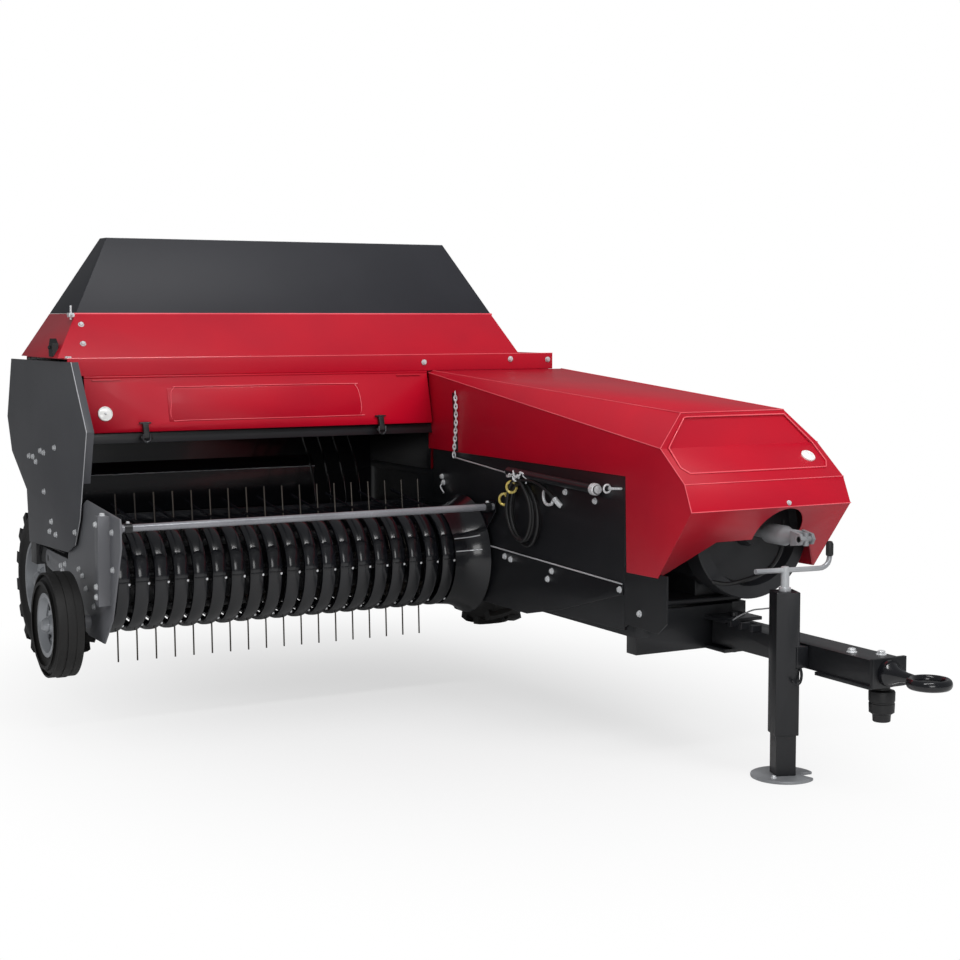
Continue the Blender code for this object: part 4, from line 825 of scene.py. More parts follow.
@dataclass
class FeedHouse(SubAssembly):
    """Feed house: end plate, sheet walls, sill, feeder forks and the twine box behind."""

    plate_x: float = -1.145
    plate_bolts: tuple = ((0.663, 0.941), (0.601, 0.942), (0.556, 0.925), (0.488, 0.973), (0.436, 0.969),
                          (0.278, 0.999), (0.441, 0.815), (0.339, 0.707), (0.366, 0.666), (0.278, 0.662),
                          (0.010, 0.700))
    plate_edge: tuple = ((0.040, 1.333), (-0.1510, 1.082), (-0.0495, 0.751), (0.0165, 0.651))
    plate_highlight_radius: float = 0.0016
    crease: tuple = ((-1.136, 0.6535, 0.8505), (0.098, 0.6535, 0.8505))
    crease_radius: float = 0.0022
    liner: tuple = ((0.3840, 0.0965, 0.8655), (0.3865, 0.6870, 1.2600))
    channel_side: tuple = ((0.689, 0.900), (0.662, 0.865), (0.655, 0.850), (0.672, 0.690), (0.689, 0.680))
    channel_ends: tuple = (-1.138, 0.100)
    fork_places: tuple = (-0.030, 0.040, 0.110, 0.180)
    fork_route: tuple = ((0.0, 0.560, 1.120), (0.006, 0.500, 1.000), (0.012, 0.440, 0.900),
                         (0.016, 0.400, 0.790), (0.018, 0.385, 0.690))
    fork_section: tuple = ((-0.016, -0.005), (0.016, -0.005), (0.016, 0.005), (-0.016, 0.005))
    fork_side: tuple = (0.0, 1.0, 0.4)
    fork_tip: float = 0.45
    beam: tuple = ((-0.080, 0.560, 1.120), (0.330, 0.560, 1.120))
    beam_radius: float = 0.026
    arm: tuple = ((0.250, 0.520, 1.080), (0.300, 0.640, 1.160))

    def build(self) -> None:
        """All sheets with soft edges, painted highlight lines on the end plate's edge and the wall's crease,
        the black liner of its left end, forks and bolts.
        """
        self.soften("end_plate_right", GREY, 0.0012)
        self.soften("feed_house", ENAMEL, 0.001)
        self.soften("door_sill", FRAME_BLACK, 0.002)
        self.soften("twine_box", RED, 0.0012)
        self.soften("twine_lid", RED, 0.0012)
        places = [(self.plate_x, y, z) for y, z in self.plate_bolts]
        self.put("end_plate_bolts", bolts(places, RIGHTWARDS, WASHER), ZINC, "machine")
        # Painted highlights: pale lines on the end plate's front edge and along the wall's crease
        edge = tube([(self.plate_x + 0.001, y, z) for y, z in self.plate_edge], self.plate_highlight_radius, LINE_SIDES)
        crease = tube(self.crease, self.crease_radius, LINE_SIDES)
        self.put("pale_fold_highlights", joined(edge, crease), PALE_HIGHLIGHT, "machine")
        self.put("side_liner", box(*self.liner), ENAMEL, "machine")
        channel = extrude(self.channel_side, Axis.X, *self.channel_ends)
        self.put("wall_channel", channel, ENAMEL, "machine", bevel=0.002)
        self.build_forks()

    def build_forks(self) -> None:
        """Feeder forks: flat bars that hang from a beam, curve back and thin towards their tips."""
        steps = 24
        taper = np.linspace(1.0, self.fork_tip, steps)[:, None, None]
        forks = [sweep(curve(np.add(self.fork_route, (x, 0.0, 0.0)), steps),
                       np.array(self.fork_section) * taper,
                       side=np.tile(self.fork_side, (steps, 1))) for x in self.fork_places]
        beam = tube(self.beam, self.beam_radius, 20)
        self.put("feeder_forks", joined(beam, box(*self.arm), *forks), ENAMEL, "machine", bevel=0.001)


@dataclass
class Cowl(SubAssembly):
    """Flywheel cowl with its nose outline, reflector, chain slot and bolts.

    The corners of its side view, from the back: eave, shoulder, brow and chin, and the crest on top.
    """

    right: float = 0.375
    left: float = 1.040
    eave: tuple = (0.094, 1.2705)
    shoulder: tuple = (-1.600, 1.0645)
    brow: tuple = (-1.7405, 0.9553)
    chin: tuple = (-1.7805, 0.867)
    ridge: tuple = (0.094, 1.278)
    ridge_ends: tuple = (0.395, 1.020)
    crest: tuple = (-1.580, 1.1805)
    crest_ends: tuple = (0.470, 0.905)
    fold_highlight_radius: float = 0.0017
    nose_outline: tuple = ((0.405, -1.606, 1.066), (0.480, -1.587, 1.166), (0.900, -1.587, 1.166),
                           (1.010, -1.606, 1.066), (1.013, -1.680, 1.005), (0.995, -1.7025, 0.987),
                           (0.425, -1.7025, 0.987), (0.402, -1.680, 1.005))
    bead_radius: float = 0.0026
    nose_slope: tuple = (0.0, -0.614, 0.789)
    reflector_place: tuple = (0.953, -1.655, 1.021)
    reflector_radius: float = 0.026
    bolt_place: tuple = (0.777, -1.775, 0.879)
    bolt_slope: tuple = (0, -0.91, 0.41)
    slot_side: tuple = ((-0.118, 1.194), (-0.146, 1.196), (-0.170, 0.958), (-0.140, 0.958))
    slot_ends: tuple = (0.3735, 0.3755)

    def build(self) -> None:
        """Folded sheet with soft edges and what is fixed on it."""
        self.soften("flywheel_cowl", RED, 0.0015)
        # Painted highlight: the nose's outline is a bead in the lightened red
        closed = np.array(self.nose_outline + self.nose_outline[:1])
        t = np.linspace(0, len(self.nose_outline), 180, endpoint=False)
        path = np.stack([np.interp(t, range(len(closed)), closed[:, k]) for k in range(3)], -1)
        bead = tube(path, self.bead_radius, LINE_SIDES, closed=True)
        self.put("nose_bead_highlight", bead, RED_HIGHLIGHT, "machine", sharp=70.0)
        self.build_folds()
        lens = reflector(self.reflector_radius).facing(self.nose_slope).moved(self.reflector_place)
        self.put("nose_reflector", lens, LENS, "machine")
        self.put("nose_bolt", bolts([self.bolt_place], self.bolt_slope, 0.009), ZINC, "machine")
        self.put("chain_slot", extrude(self.slot_side, Axis.X, *self.slot_ends), RUBBER, "machine")

    def build_folds(self) -> None:
        """Painted highlights: pale red lines along the sheet's folds."""
        right, left = self.right - 0.0003, self.left + 0.0003
        (ridge_right, ridge_left), (crest_right, crest_left) = self.ridge_ends, self.crest_ends
        proud = (self.crest[0] - 0.0005, self.crest[1])
        lines = [[(right, *self.eave), (right, *self.shoulder)],
                 [(left, *self.eave), (left, *self.shoulder)],
                 [(ridge_right, *self.ridge), (crest_right, *self.crest)],
                 [(ridge_left, *self.ridge), (crest_left, *self.crest)],
                 [(crest_right, *proud), (crest_left, *proud)],
                 [(right, *self.shoulder), (crest_right, *self.crest)],
                 [(right, *self.brow), (left, *self.brow)],
                 [(right, *self.chin), (left, *self.chin)],
                 [(right, *self.shoulder), (right, *self.brow)],
                 [(right, *self.brow), (right, *self.chin)]]
        folds = joined(*[tube(line, self.fold_highlight_radius, LINE_SIDES) for line in lines])
        self.put("cowl_fold_highlights", folds, RED_HIGHLIGHT, "machine")


@dataclass
class SidePanel(SubAssembly):
    """Closing panel under the cowl with its deflector, tube, hose loop, shackles and hook."""

    tube_ends: tuple = ((0.352, -0.620, 0.915), (0.352, -1.250, 0.897))
    tube_radius: float = 0.016
    lug_places: tuple = ((-0.660, 0.914), (-1.215, 0.898))
    deflector_x: float = 0.372
    deflector_bolts: tuple = ((-0.559, 0.579), (-0.605, 0.573), (-0.910, 0.566), (-0.881, 0.533),
                              (-1.365, 0.560))
    hem: tuple = ((0.3715, -0.400, 0.6075), (0.3715, -0.611, 0.602), (0.3715, -1.378, 0.581))
    hem_radius: float = 0.0028
    panel_x: float = 0.378
    panel_bolts: tuple = ((-0.994, 0.866), (-1.194, 0.852), (-0.024, 0.845), (-0.036, 0.822),
                          (-1.480, 0.492))
    front_outline: tuple = ((-1.386, 0.640), (-1.386, 0.430), (-1.406, 0.443), (-1.585, 0.438),
                            (-1.640, 0.480), (-1.640, 0.640))
    front_faces: tuple = (0.3785, 0.3845)
    hose_turn: tuple = ((-0.715, 0.885), (-0.668, 0.862), (-0.641, 0.803), (-0.636, 0.745), (-0.660, 0.691),
                        (-0.702, 0.654), (-0.755, 0.643), (-0.799, 0.669), (-0.826, 0.728), (-0.814, 0.801),
                        (-0.762, 0.862))
    hose_strands: tuple = ((1.0, 0.3600), (0.88, 0.3500), (0.94, 0.3395))
    hose_step: float = 0.006
    hose_radius: float = 0.0070
    hose_lead: tuple = ((0.345, -0.730, 0.888), (0.345, -0.790, 0.893), (0.350, -0.850, 0.884),
                        (0.357, -0.910, 0.858), (0.366, -0.948, 0.830), (0.372, -0.962, 0.815))
    ferrule: tuple = ((0.363, -0.940, 0.838), (0.372, -0.960, 0.818), (0.3785, -0.966, 0.812))
    hook: tuple = ((0.376, -0.852, 0.868), (0.366, -0.858, 0.850), (0.362, -0.868, 0.826),
                   (0.362, -0.890, 0.812), (0.362, -0.922, 0.816), (0.362, -0.930, 0.828))
    hanging_chain: tuple = ((0.366, -0.160, 1.198), (0.366, -0.166, 1.080), (0.366, -0.150, 0.960),
                            (0.366, -0.150, 0.930))
    gathered_chain: tuple = ((0.352, -0.600, 0.906), (0.345, -0.640, 0.900), (0.340, -0.680, 0.912),
                             (0.334, -0.705, 0.890), (0.338, -0.735, 0.915), (0.345, -0.770, 0.905),
                             (0.348, -0.762, 0.884))
    panel_hook: tuple = ((0.374, -0.036, 0.822), (0.366, -0.030, 0.806), (0.366, -0.044, 0.792),
                         (0.366, -0.060, 0.782))
    cord: tuple = ((0.366, -0.150, 0.934), (0.360, -0.370, 0.921), (0.352, -0.600, 0.907))
    shackles: tuple = ((-0.664, 0.858, 0.3), (-0.606, 0.806, -0.4))
    shackle_x: float = 0.340
    swivel: tuple = ((0.342, -0.648, 0.843), (0.342, -0.622, 0.821))
    shackle_link: tuple = ((0.342, -0.690, 0.895), (0.342, -0.676, 0.876))
    collar: tuple = ((0.0, 0.0), (0.0, 0.021), (0.010, 0.022), (0.022, 0.021), (0.024, 0.015),
                     (0.036, 0.014), (0.038, 0.0))
    eye_bolt: tuple = (0.356, -1.305, 0.906)
    eye_pin: tuple = ((0.378, -1.305, 0.906), (0.362, -1.305, 0.906))
    eye_rod: tuple = ((0.364, -1.318, 0.907), (0.372, -1.372, 0.911))

    def build(self) -> None:
        """Panels with soft edges and everything that hangs on them."""
        self.soften("side_panel", FRAME_BLACK, 0.0012)
        self.soften("crop_deflector", FRAME_BLACK, 0.0015)
        self.put("side_tube_round", tube(self.tube_ends, self.tube_radius, 24), FRAME_BLACK, "machine",
                 stands_for=["side_tube"])
        lugs = joined(*[box((0.350, y - 0.015, z - 0.022), (0.377, y + 0.015, z + 0.010))
                        for y, z in self.lug_places])
        self.put("side_tube_lugs", lugs, FRAME_BLACK, "machine", bevel=0.0015)
        deflector = [(self.deflector_x, y, z) for y, z in self.deflector_bolts]
        self.put("deflector_bolts", bolts(deflector, RIGHTWARDS, WASHER), ZINC, "machine")
        # Painted highlight: a pale line along the deflector's hem
        self.put("deflector_hem_highlight", tube(self.hem, self.hem_radius, 10), PALE_HIGHLIGHT, "machine")
        panel = [(self.panel_x, y, z) for y, z in self.panel_bolts]
        self.put("panel_bolts", bolts(panel, RIGHTWARDS, WASHER), ZINC, "machine")
        front = extrude(self.front_outline, Axis.X, *self.front_faces)
        self.put("side_panel_front", front, FRAME_BLACK, "machine", bevel=0.0012)
        self.build_hose()
        self.build_chains()
        self.build_tube_fittings()

    def build_hose(self) -> None:
        """Hydraulic hose laid up in three hanging turns, with its end led to a coupling on the panel.

        Each turn = middle + size * (turn - middle) + shift, in a plane of its own.
        """
        turn = np.array(self.hose_turn)
        middle = turn.mean(0)
        strands = []
        for k, (size, plane) in enumerate(self.hose_strands):
            flat = middle + size * (turn - middle) + np.array([self.hose_step * k, self.hose_step * k])
            path = curve(np.insert(flat, 0, plane, axis=1), 90, closed=True)
            strands.append(tube(path, self.hose_radius, 12, closed=True))
        lead = tube(curve(self.hose_lead, 40), self.hose_radius, 12)
        self.put("hose_coil", joined(*strands, lead), RUBBER, "machine")
        hook = tube(curve(self.hook, 32), 0.0058, 12)
        self.put("hose_hook", joined(tube(self.ferrule, 0.0105, 12), hook), ZINC, "machine")

    def build_chains(self) -> None:
        """Chain of the slot, the cord that it tightens, the gathered links and two shackles."""
        gathered = chain(curve(self.gathered_chain, 60), 0.020, 0.0034)
        tail = tube(curve(self.panel_hook, 20), 0.003, LINE_SIDES)
        self.put("side_chains", joined(chain(curve(self.hanging_chain, 60)), gathered, tail), ZINC, "machine")
        self.put("taut_cord", tube(self.cord, 0.0028, LINE_SIDES), WIRE, "machine")
        swivel = tube(self.swivel, 0.0085, 14)
        link = tube(self.shackle_link, 0.0060, 12)
        rings = [self.shackle_ring(*place) for place in self.shackles]
        self.put("shackles", joined(*rings, swivel, link), YELLOW, "machine")

    def shackle_ring(self, y: float, z: float, lean: float) -> Surface:
        """One upright ring, turned a little out of the panel's plane.

        Args:
            y: Place of its middle along the machine.
            z: Height of its middle.
            lean: How much wider it is than a ring with no lean, in parts of 4 mm.

        Returns:
            The ring: point = middle + (13 mm * cos a, -(14 mm + 4 mm * lean) * cos a, 21 mm * sin a).
        """
        a = np.linspace(0, 2 * np.pi, 28, endpoint=False)
        path = np.stack([self.shackle_x + 0.013 * np.cos(a), y - (0.014 + 0.004 * lean) * np.cos(a),
                         z + 0.021 * np.sin(a)], -1)
        return tube(path, 0.0050, 10, closed=True)

    def build_tube_fittings(self) -> None:
        """Collar and nut at the tube's end, and the eye bolt and pin beyond it."""
        end = np.array(self.tube_ends[1])
        nut = lathe([(-h, r) for h, r in self.collar], Axis.Y, tuple(end + (0, 0.030, 0.001)), 20,
                    closed=False)
        eye = lathe(0.0035 * circle(1.0, 10) + (0.0, 0.014), Axis.Y, self.eye_bolt, 24)
        pin = tube(self.eye_pin, 0.0045, 10)
        rod = tube(self.eye_rod, 0.0042, 10)
        self.put("tube_fittings", joined(nut, eye, pin, rod), ZINC, "machine")


@dataclass
class Pickup(SubAssembly):
    """Stripper bands on their back plate, the drum's flared end, the side plates and their bolts."""

    centre: tuple = (-0.230, 0.553)
    band_radius: float = 0.190
    pitch: float = 0.0722
    first_tine: float = -1.062
    count: int = 18
    band_width: float = 0.0542
    seam: float = 177.0
    seam_step: float = 0.0032
    back_plate: tuple = ((-1.1277, 0.105, 0.368), (0.3597, 0.120, 0.745))
    bolt_rows: tuple = (("seam", 179.0), ("foot", 236.0))
    drum_start: float = 0.2288
    drum_end: float = 0.362
    drum_highlights: tuple = (154.0, 169.0)
    plate_x: float = -1.1345
    plate_bolts: tuple = ((-0.420, 0.745), (-0.425, 0.613), (-0.311, 0.616), (0.250, 0.545), (0.192, 0.558),
                          (0.225, 0.528), (0.003, 0.562), (0.096, 0.505), (-0.042, 0.542), (-0.087, 0.500),
                          (-0.245, 0.529), (-0.188, 0.449))
    post_bolts: tuple = ((-1.1765, -0.364, 0.512), (-1.1765, -0.364, 0.548), (-1.1765, -0.364, 0.770))
    cap_bolt: tuple = (-1.155, -0.364, 0.8)

    def build(self) -> None:
        """Bands, drum end, right side plate and fasteners."""
        self.build_bands()
        self.build_drum_end()
        self.build_right_plate()

    def band_path(self) -> tuple[Array, Array]:
        """Middle line of a band in y, z and its outward direction.

        It runs straight from the back plate to the drum's foot, round the front by angle, and straight
        back over the top. The part above the seam stands proud by one step, as it laps the lower part.

        Returns:
            Points (N, 2) and outward directions (N, 2).
        """
        y, z, r = *self.centre, self.band_radius
        a = np.radians(np.linspace(270.0, 90.0, 44))
        out = np.stack([np.cos(a), np.sin(a)], -1)
        proud = np.where(np.degrees(a) < self.seam, self.seam_step, 0.0)[:, None]
        arc = np.array([y, z]) + (r + proud) * out
        first, last = np.array([[0.110, z - 0.165]]), np.array([[0.110, z + r - 0.012]])
        line = np.concatenate([first, np.array([[y + 0.040, z - r]]), arc, last])
        outward = np.concatenate([[(-0.20, -0.98)], [(0.0, -1.0)], out, [(0.03, 1.0)]])
        return line, outward

    def build_bands(self) -> None:
        """One crowned band between each two rows of tines, with turned-down edges, on the back plate."""
        line, outward = self.band_path()
        half = self.band_width / 2
        section = np.array([(-half, -0.013), (-half + 0.0012, -0.004), (-half + 0.006, 0.0),
                            (-half / 2, 0.0031),
                            (0.0, 0.0042), (half / 2, 0.0031), (half - 0.006, 0.0), (half - 0.0012, -0.004),
                            (half, -0.013), (half - 0.008, -0.004), (0.0, -0.003), (-half + 0.008, -0.004)])
        across = np.zeros((len(line), len(section), 3))
        across[..., 0] = section[None, :, 0]
        across[..., 1:] = line[:, None] + outward[:, None] * section[None, :, 1:]
        one = grid(across, wrap_cols=True, caps=True)
        x = self.first_tine + (np.arange(self.count + 1) - 0.5) * self.pitch
        offsets = np.stack([x, 0 * x, 0 * x], -1)
        self.put("stripper_bands_round", joined(one.repeated(offsets), box(*self.back_plate)), ENAMEL,
                 "pickup",
                 stands_for=["stripper_bands"], sharp=30.0)
        a = math.radians(self.seam)
        lap = self.band_radius + 0.0052
        bead = curve([(u * half, self.centre[0] + (lap + h) * math.cos(a),
                       self.centre[1] + (lap + h) * math.sin(a))
                      for u,
                      h in ((-0.94, -0.0050), (-0.6, 0.0), (0.0, 0.0021), (0.6, 0.0), (0.94, -0.0050))], 14)
        self.put("band_laps", tube(bead, 0.0022, LINE_SIDES).repeated(offsets), ENAMEL, "pickup")
        self.build_band_bolts(x)

    def build_band_bolts(self, x: Array) -> None:
        """Small bolts beside the seam and at the foot of each band.

        Args:
            x: Middles of the bands.
        """
        y, z, r = *self.centre, self.band_radius
        for name, degrees in self.bolt_rows:
            a = math.radians(degrees)
            out = (0.0, math.cos(a), math.sin(a))
            places = [(k + 0.021, y + (r - 0.001) * out[1], z + (r - 0.001) * out[2]) for k in x]
            self.put("band_bolts_" + name, bolts(places, out, 0.0055), ZINC, "pickup")

    def build_drum_end(self) -> None:
        """Smooth flared end of the drum with two pale painted highlight lines on it, and the left side plate.
        """
        r, low, high, t = self.band_radius, self.drum_start, self.drum_end, 0.004
        flare = [(low, r + 0.0035), (low + 0.030, r + 0.0062), (low + 0.060, r + 0.0095),
                 (low + 0.085, r + 0.018),
                 (low + 0.110, r + 0.030), (high, 0.2368), (high, 0.100), (high - t, 0.100),
                 (high - t, 0.219),
                 (low + 0.100, r + 0.012), (low + 0.060, r + 0.002), (low, r - 0.002)]
        drum = lathe(flare, Axis.X, (0.0, *self.centre), 72)
        self.put("drum_end", drum, ENAMEL, "pickup", sharp=45.0)
        y, z = self.centre
        # Painted highlights: two pale lines on the drum's end
        rises = ((0.004, 0.0042), (0.030, 0.0066), (0.060, 0.0100), (0.085, 0.0185), (0.106, 0.0285))
        laps = []
        for degrees in self.drum_highlights:
            a = math.radians(degrees)
            path = [(low + h, y + (r + rise) * math.cos(a), z + (r + rise) * math.sin(a)) for h,
                    rise in rises]
            laps.append(tube(path, 0.0022, LINE_SIDES))
        self.put("drum_highlights", joined(*laps), PALE_HIGHLIGHT, "pickup")
        self.soften("pickup_left_end", ENAMEL, 0.001)

    def build_right_plate(self) -> None:
        """Right side plate with its bolts, and the bolts of the post on it."""
        # Painted light: the plate gets a lighter copy of the grey coat
        self.soften("pickup_right_plate", LIT_PLATE_GREY, 0.0015)
        plate = [(self.plate_x, y, z) for y, z in self.plate_bolts]
        self.put("side_plate_bolts", bolts(plate, RIGHTWARDS, WASHER), ZINC, "pickup")
        self.put("post_bolts", bolts(self.post_bolts, RIGHTWARDS, WASHER), ZINC, "pickup")
        self.put("post_cap_bolt", bolts([self.cap_bolt], UPWARDS, WASHER), ZINC, "pickup")


@dataclass
class Reel(SubAssembly):
    """Tine reel: shaft, spiders, bars and coiled spring tines."""

    centre: tuple = (-0.230, 0.553)
    bar_circle: float = 0.115
    tine: float = 0.193
    rows: tuple = ((270.0, 270.0), (180.0, 68.0), (90.0, 86.0), (0.0, 62.0))
    first: float = -1.062
    pitch: float = 0.0722
    count: int = 18
    shaft_ends: tuple = (-1.1277, 0.3597)
    shaft_radius: float = 0.020
    spider_radius: float = 0.137
    spider_half: float = 0.003
    bar_radius: float = 0.014
    wire_radius: float = 0.0031

    def build(self) -> None:
        """One piece for the steelwork and one for all tines."""
        y, z = self.centre
        low, high = self.first - 0.4 * self.pitch, self.first + (self.count - 0.6) * self.pitch
        t, r = self.spider_half, self.spider_radius
        work = [tube([(x, y, z) for x in self.shaft_ends], self.shaft_radius, 24)]
        disc = [(-t, 0.0), (-t, r), (t, r), (t, 0.0)]
        work += [lathe(disc, Axis.X, (x, y, z), 40, closed=False) for x in (low, (low + high) / 2, high)]
        tines = []
        x = self.first + np.arange(self.count) * self.pitch
        offsets = np.stack([x, 0 * x, 0 * x], -1)
        for place, aim in self.rows:
            a, b = math.radians(place), math.radians(aim)
            bar = np.array([0.0, y + self.bar_circle * math.cos(a), z + self.bar_circle * math.sin(a)])
            work.append(tube([(low - 0.010, *bar[1:]), (high + 0.010, *bar[1:])], self.bar_radius, 16))
            out = np.array([0.0, math.cos(b), math.sin(b)])
            side = np.array([0.0, -out[2], out[1]])
            arm = tube([bar + 0.012 * side, bar + 0.10 * out + 0.004 * side, bar + self.tine * out],
                       self.wire_radius, 8)
            spring = coil((-0.013, *bar[1:]), (0.013, *bar[1:]), 0.0165, 4.0, 0.0028, 6)
            tines.append(joined(arm, spring).repeated(offsets))
        self.put("reel_steelwork", joined(*work), FRAME_BLACK, "reel", stands_for=["tine_reel"])
        self.put("reel_tines", joined(*tines), SPRING, "reel")


@dataclass
class WindGuard(SubAssembly):
    """Wind guard: cross tube with trailing rods and its end clamps."""

    pivot: tuple = (-0.485, 0.765)
    ends: tuple = (-1.1217, 0.3597)
    first: float = -1.062
    pitch: float = 0.0722
    bar_radius: float = 0.0135
    rod_radius: float = 0.005
    collar_ends: tuple = ((-1.112, -1.086), (0.322, 0.346))
    collar_radius: float = 0.019
    bolt_places: tuple = (-1.099, 0.334)

    def build(self) -> None:
        """Tube, rods and the end collars."""
        y, z = self.pivot
        bar = tube([(x, y, z) for x in self.ends], self.bar_radius, 28)
        x = self.first + (np.arange(1, 19, 2) - 0.5) * self.pitch
        rod = tube(curve([(0, y, z), (0, y + 0.200, z + 0.010), (0, y + 0.430, z + 0.040)], 12),
                   self.rod_radius, 10)
        self.put("guard_bar", bar, TUBE_GREY, "guard", stands_for=["wind_guard"])
        self.put("guard_rods", rod.repeated(np.stack([x, 0 * x, 0 * x], -1)), ENAMEL, "guard")
        collars = joined(*[tube([(start, y, z), (end, y, z)], self.collar_radius, 20)
                           for start, end in self.collar_ends])
        self.put("guard_collars", collars, FRAME_BLACK, "guard")
        heads = bolts([(place, y, z + 0.018) for place in self.bolt_places], UPWARDS, 0.008)
        self.put("guard_bolts", heads, ZINC, "guard")


@dataclass
class Wheel(SubAssembly):
    """A wheel: tyre with its tread, pressed rim, hub and nuts.

    The bead and the dish are measured from the wheel's middle plane. Side is -1 where the disc faces
    right. A wheel with no lugs has three smooth ribs, and dark discs of painted shade where its disc's slots
    are.
    """

    name: str
    centre: tuple
    side: int
    radius: float
    width: float
    rim: float
    bead: float
    bore: float
    dish: float
    lugs: int
    tyre_steps: int = 96
    rim_steps: int = 72
    tread_depth: float = 0.018
    rib_depth: float = 0.004

    def build(self) -> None:
        """Tyre with lugs or ribs, then the rim and what it carries."""
        half, base = self.width / 2, self.radius - (self.tread_depth if self.lugs else self.rib_depth)
        middle = (self.rim + base) / 2
        right = [(self.bead, self.rim + 0.0003), (self.bead + 0.002, self.rim + 0.010),
                 (self.bead, self.rim + 0.020), (half - 0.012, self.rim + 0.040),
                 (half - 0.006, self.rim + 0.055), (half - 0.008, self.rim + 0.060), (half - 0.001, middle),
                 (half, middle + 0.012), (half - 0.003, base - 0.040), (half - 0.010, base - 0.022),
                 (half - 0.024, base - 0.008), (half * 0.55, base - 0.001), (half * 0.2, base)]
        profile = right + [(-h, r) for h, r in right[::-1]]
        pattern = [self.tread(side) for side in (-1, 1)] if self.lugs else self.ribs(base)
        tyre = joined(lathe(profile, Axis.X, self.centre, self.tyre_steps), *pattern)
        self.put(self.name + "_tyre_treaded", tyre, TYRE, self.name, stands_for=[self.nodes()[0]], sharp=38.0)
        self.build_rim()
        self.build_hub()

    def nodes(self) -> tuple[str, str]:
        """Names of the CAD tyre and rim."""
        stem = self.name if self.lugs else "gauge"
        return stem + "_tyre", stem + "_rim"

    def ribs(self, base: float) -> list[Surface]:
        """Smooth ribs round the tyre, the outer two a little lower than the middle one.

        Args:
            base: Radius of the tyre between them.

        Returns:
            The three ribs.
        """
        half = self.width / 2
        found = []
        for h in (-0.56, 0.0, 0.56):
            top = self.radius - abs(h) * 0.005
            section = [(h * half - 0.0145, base - 0.006), (h * half - 0.0135, top), (h * half + 0.0135, top),
                       (h * half + 0.0145, base - 0.006)]
            found.append(lathe(section, Axis.X, self.centre, self.tyre_steps))
        return found

    def tread(self, side: int) -> Surface:
        """Slanted bar lugs of one half of the tread.

        Each lug is a block whose corners are worked out in (across, angle, radius) and turned to x, y, z.

        Args:
            side: -1 for the right half, 1 for the left.

        Returns:
            All lugs of that half.
        """
        step = 2 * math.pi / self.lugs
        half = self.width / 2
        across = np.array([0.004, 0.35 * half, 0.70 * half, half - 0.008])
        turn = np.array([0.0, 0.14, 0.26, 0.36]) * step
        low, high = self.radius - 0.045, np.array([0.0, 0.0, 0.001, 0.006])
        wide = np.array([0.34, 0.36, 0.42, 0.46]) * step
        ring = []
        for deep, edge in ((True, 0.0), (False, 0.06), (False, 0.94), (True, 1.0)):
            r = np.full(4, low) if deep else self.radius - 0.0005 - high
            r = np.where(deep, r - np.array([0, 0, 0.010, 0.020]), r)
            ring.append(np.stack([across, turn + edge * wide, r], -1))
        block = np.stack(ring, 1)
        k = np.arange(self.lugs) + (0.5 if side > 0 else 0.0)
        a = block[None, ..., 1] + k[:, None, None] * step
        h = np.broadcast_to(block[..., 0], a.shape) * side
        r = np.broadcast_to(block[..., 2], a.shape)
        points = np.stack([h, r * np.cos(a), r * np.sin(a)], -1) + np.array(self.centre)
        return joined(*[grid(p, wrap_cols=True, caps=True) for p in points])

    def build_rim(self) -> None:
        """Rim with its flanges and well, and the pressed disc between them, turned as one section."""
        rim, b, lip, t, d = self.rim, self.bead + 0.0003, 0.005, 0.004, self.dish
        flange, well = rim + 0.012, rim - 0.016
        outer = [(-b - lip, flange), (-b, flange), (-b, rim), (-0.45 * b, well), (0.45 * b, well), (b, rim),
                 (b, flange), (b + lip, flange), (b + lip, rim - t), (0.50 * b, well - t)]
        disc = [(d, well - t), (d + 0.008, 0.80 * rim), (d + 0.010, 0.70 * rim), (d + 0.002, 0.56 * rim),
                (d - 0.012, 0.45 * rim), (d + 0.030, 0.30 * rim), (d + 0.030, self.bore),
                (d - 0.050, self.bore), (d - 0.020, 0.45 * rim), (d - 0.006, 0.56 * rim),
                (d + 0.002, 0.72 * rim), (d - 0.008, well - t)]
        inner = [(-0.50 * b, well - t), (-b - lip, rim - t)]
        section = [(self.side * h, r) for h, r in outer + disc + inner]
        pressed = lathe(section, Axis.X, self.centre, self.rim_steps)
        self.put(self.name + "_rim_pressed", pressed, RIM, self.name, stands_for=[self.nodes()[1]],
                 sharp=32.0)

    def build_hub(self) -> None:
        """Hub cap, dark discs of painted shade for the slots of a disc with no lugs on its tyre, and the
        wheel nuts.
        """
        (x, y, z), rim, d = self.centre, self.rim, self.dish
        cap = [(0.0, 0.0), (0.0, 0.26 * rim), (0.010, 0.25 * rim), (0.022, 0.16 * rim), (0.026, 0.0)]
        hub = lathe([(self.side * h, r) for h, r in cap], Axis.X, (x + self.side * (d + 0.030), y, z), 32,
                    closed=False)
        self.put(self.name + "_hub_cap", hub, RIM, self.name)
        if not self.lugs:
            # Painted shade: dark rubber discs stand where the slots would show dark
            pill = [(0.0, 0.0), (0.0, 0.010), (0.0016, 0.009), (0.0016, 0.0)]
            slot = lathe([(self.side * h, r) for h, r in pill], Axis.X, (0, 0, 0), 16, closed=False)
            holes = np.array([(x + self.side * (d + 0.0095), y + u, z + v) for u, v in circle(0.71 * rim, 8)])
            self.put(self.name + "_slot_shade", slot.repeated(holes), RUBBER, self.name)
        nuts = [(x + self.side * (d - 0.004), y + u, z + v) for u, v in circle(0.50 * rim, 5)]
        size = WASHER if self.lugs else 0.008
        self.put(self.name + "_nuts", bolts(nuts, (self.side, 0, 0), size), ZINC, self.name)


